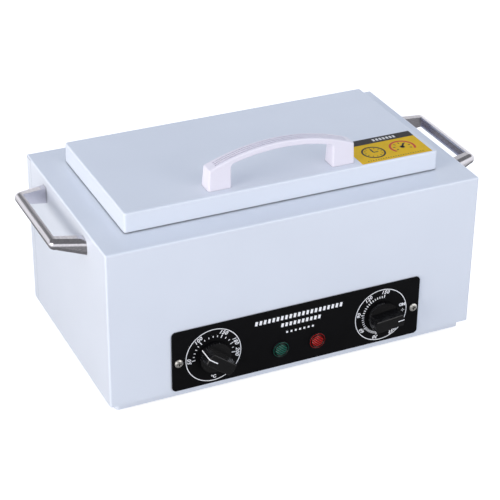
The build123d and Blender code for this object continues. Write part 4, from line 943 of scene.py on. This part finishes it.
def floor_stage():
    """A wide pale floor that reads as white, and is dark near the object in reflections."""
    reach = 6.0
    corners = [(-reach, -reach, 0), (reach, -reach, 0), (reach, reach, 0), (-reach, reach, 0)]
    mesh = bpy.data.meshes.new("floor")
    mesh.from_pydata(corners, [], [[0, 1, 2, 3]])
    floor = bpy.data.objects.new("floor", mesh)
    bpy.context.scene.collection.objects.link(floor)
    finish, tree, shader, _ = new_finish("white_paper", Roughness=0.9, Specular_IOR_Level=0.0)
    shader.inputs["Base Color"].default_value = paint("#D4D4D6")
    # A glow lifts the lit paper to white where it is seen, but lights nothing.
    lift = 0.78
    path = put(tree, "ShaderNodeLightPath").outputs
    seen = either(tree, path["Is Camera Ray"], path["Is Transmission Ray"])
    strength = put(tree, "ShaderNodeMath", {1: lift}, {0: seen}, operation="MULTIPLY")
    glow = put(
        tree, "ShaderNodeEmission", {"Color": WHITE}, {"Strength": strength.outputs["Value"]}
    )
    both = put(
        tree, "ShaderNodeAddShader", (), {0: shader.outputs["BSDF"], 1: glow.outputs["Emission"]}
    )
    mix = put(
        tree, "ShaderNodeMixShader", (),
        {0: path["Is Glossy Ray"], 1: both.outputs[0], 2: ground(tree).outputs["Emission"]},
    )
    tree.links.new(mix.outputs["Shader"], tree.nodes["Material Output"].inputs["Surface"])
    mesh.materials.append(finish)


def studio_world(scene):
    """A cool even sky for light, and plain white where the camera looks.

    Reflections see a bright horizon under a dark ceiling.
    """
    world = bpy.data.worlds.new("studio")
    scene.world = world
    world.use_nodes = True
    tree = world.node_tree
    sky = tree.nodes["Background"]
    sky.inputs["Color"].default_value = (0.89, 0.98, 1.17, 1)
    sky.inputs["Strength"].default_value = 0.60
    white = put(tree, "ShaderNodeBackground", {"Color": WHITE, "Strength": 1.0})
    way = put(tree, "ShaderNodeTexCoord").outputs["Generated"]
    # The ceiling is tilted a little, so that it starts higher on the right.
    upward = put(
        tree, "ShaderNodeVectorMath", {1: (-0.15, 0.0, 1.0)}, {0: way}, operation="DOT_PRODUCT"
    )
    room = blend(
        tree, upward.outputs["Value"], start=0.35, end=0.50, first=1.15, last=0.2
    )
    gloss = put(tree, "ShaderNodeBackground", {"Color": WHITE}, {"Strength": room})
    path = put(tree, "ShaderNodeLightPath").outputs
    shown = put(
        tree, "ShaderNodeMixShader", (),
        {0: path["Is Glossy Ray"], 1: white.outputs["Background"], 2: gloss.outputs["Background"]},
    )
    seen = either(
        tree, either(tree, path["Is Camera Ray"], path["Is Glossy Ray"]),
        path["Is Transmission Ray"],
    )
    mix = put(
        tree, "ShaderNodeMixShader", (),
        {0: seen, 1: sky.outputs["Background"], 2: shown.outputs["Shader"]},
    )
    tree.links.new(mix.outputs["Shader"], tree.nodes["World Output"].inputs["Surface"])


def softbox(name, place, target, size, watts, tone):
    """A square area lamp aimed at a point, its places and its size in metres."""
    lamp = bpy.data.lights.new(name, "AREA")
    lamp.energy = watts
    lamp.size = size
    lamp.color = tone
    obj = bpy.data.objects.new(name, lamp)
    bpy.context.scene.collection.objects.link(obj)
    obj.location = place
    obj.rotation_euler = (Vector(target) - Vector(place)).to_track_quat("-Z", "Y").to_euler()


def studio_lamps():
    """A large warm key at the left and a weaker fill at the front right, both low."""
    middle = (0, 0, 0.1)
    softbox("key", (-1.95, -0.55, 0.5), middle, 1.2, 28.0, (1.0, 0.95, 0.9))
    softbox("fill", (0.9, -1.7, 0.5), middle, 1.0, 10.0, (1.0, 0.97, 0.94))


def studio_camera(scene):
    """A long lens from the front left and above."""
    data = bpy.data.cameras.new("camera")
    camera = bpy.data.objects.new("camera", data)
    scene.collection.objects.link(camera)
    data.sensor_width = 36.0
    data.lens = 119.9
    data.clip_end = 50.0
    # It faces the back, turned to the right and downwards, and is rolled a little.
    heading, dip, roll = radians(25.0156), radians(29.5255), radians(0.658)
    turn = (
        Matrix.Rotation(-heading, 4, "Z")
        @ Matrix.Rotation(pi / 2 - dip, 4, "X")
        @ Matrix.Rotation(roll, 4, "Z")
    )
    # It stands to the left, before the cabinet's middle and above the floor, in metres.
    place = Vector((-0.5913, centre("cabinet_shell").y - 1.2682, 0.8708))
    camera.matrix_world = Matrix.Translation(place) @ turn
    scene.camera = camera


class STERILIZER_PT_panel(bpy.types.Panel):
    """Lists the operators and their sizes and colours"""

    bl_label = "Sterilizer"
    bl_space_type = "VIEW_3D"
    bl_region_type = "UI"
    bl_category = "Sterilizer"

    def draw(self, context):
        """Shows a button for each operator, then every size and colour."""
        for operator in OPERATORS:
            self.layout.operator(operator.bl_idname)
        for group in (context.scene.sterilizer_sizes, context.scene.sterilizer_colours):
            for name in group.__annotations__:
                self.layout.prop(group, name)


OPERATORS = (
    STERILIZER_OT_finishes,
    STERILIZER_OT_temperature_print,
    STERILIZER_OT_timer_print,
    STERILIZER_OT_panel_rules,
    STERILIZER_OT_pointers,
    STERILIZER_OT_lenses,
    STERILIZER_OT_label,
    STERILIZER_OT_stage,
)
CLASSES = (SterilizerColours, SterilizerSizes, *OPERATORS, STERILIZER_PT_panel)


def register():
    """Makes the classes and their settings known to Blender."""
    for cls in CLASSES:
        bpy.utils.register_class(cls)
    bpy.types.Scene.sterilizer_sizes = bpy.props.PointerProperty(type=SterilizerSizes)
    bpy.types.Scene.sterilizer_colours = bpy.props.PointerProperty(type=SterilizerColours)


def unregister():
    """Takes the settings and the classes away again."""
    del bpy.types.Scene.sterilizer_sizes
    del bpy.types.Scene.sterilizer_colours
    for cls in reversed(CLASSES):
        bpy.utils.unregister_class(cls)


def main():
    """Runs every operator."""
    register()
    for operator in OPERATORS:
        group, name = operator.bl_idname.split(".")
        getattr(getattr(bpy.ops, group), name)()
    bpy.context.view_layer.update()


if __name__ == "__main__":
    main()
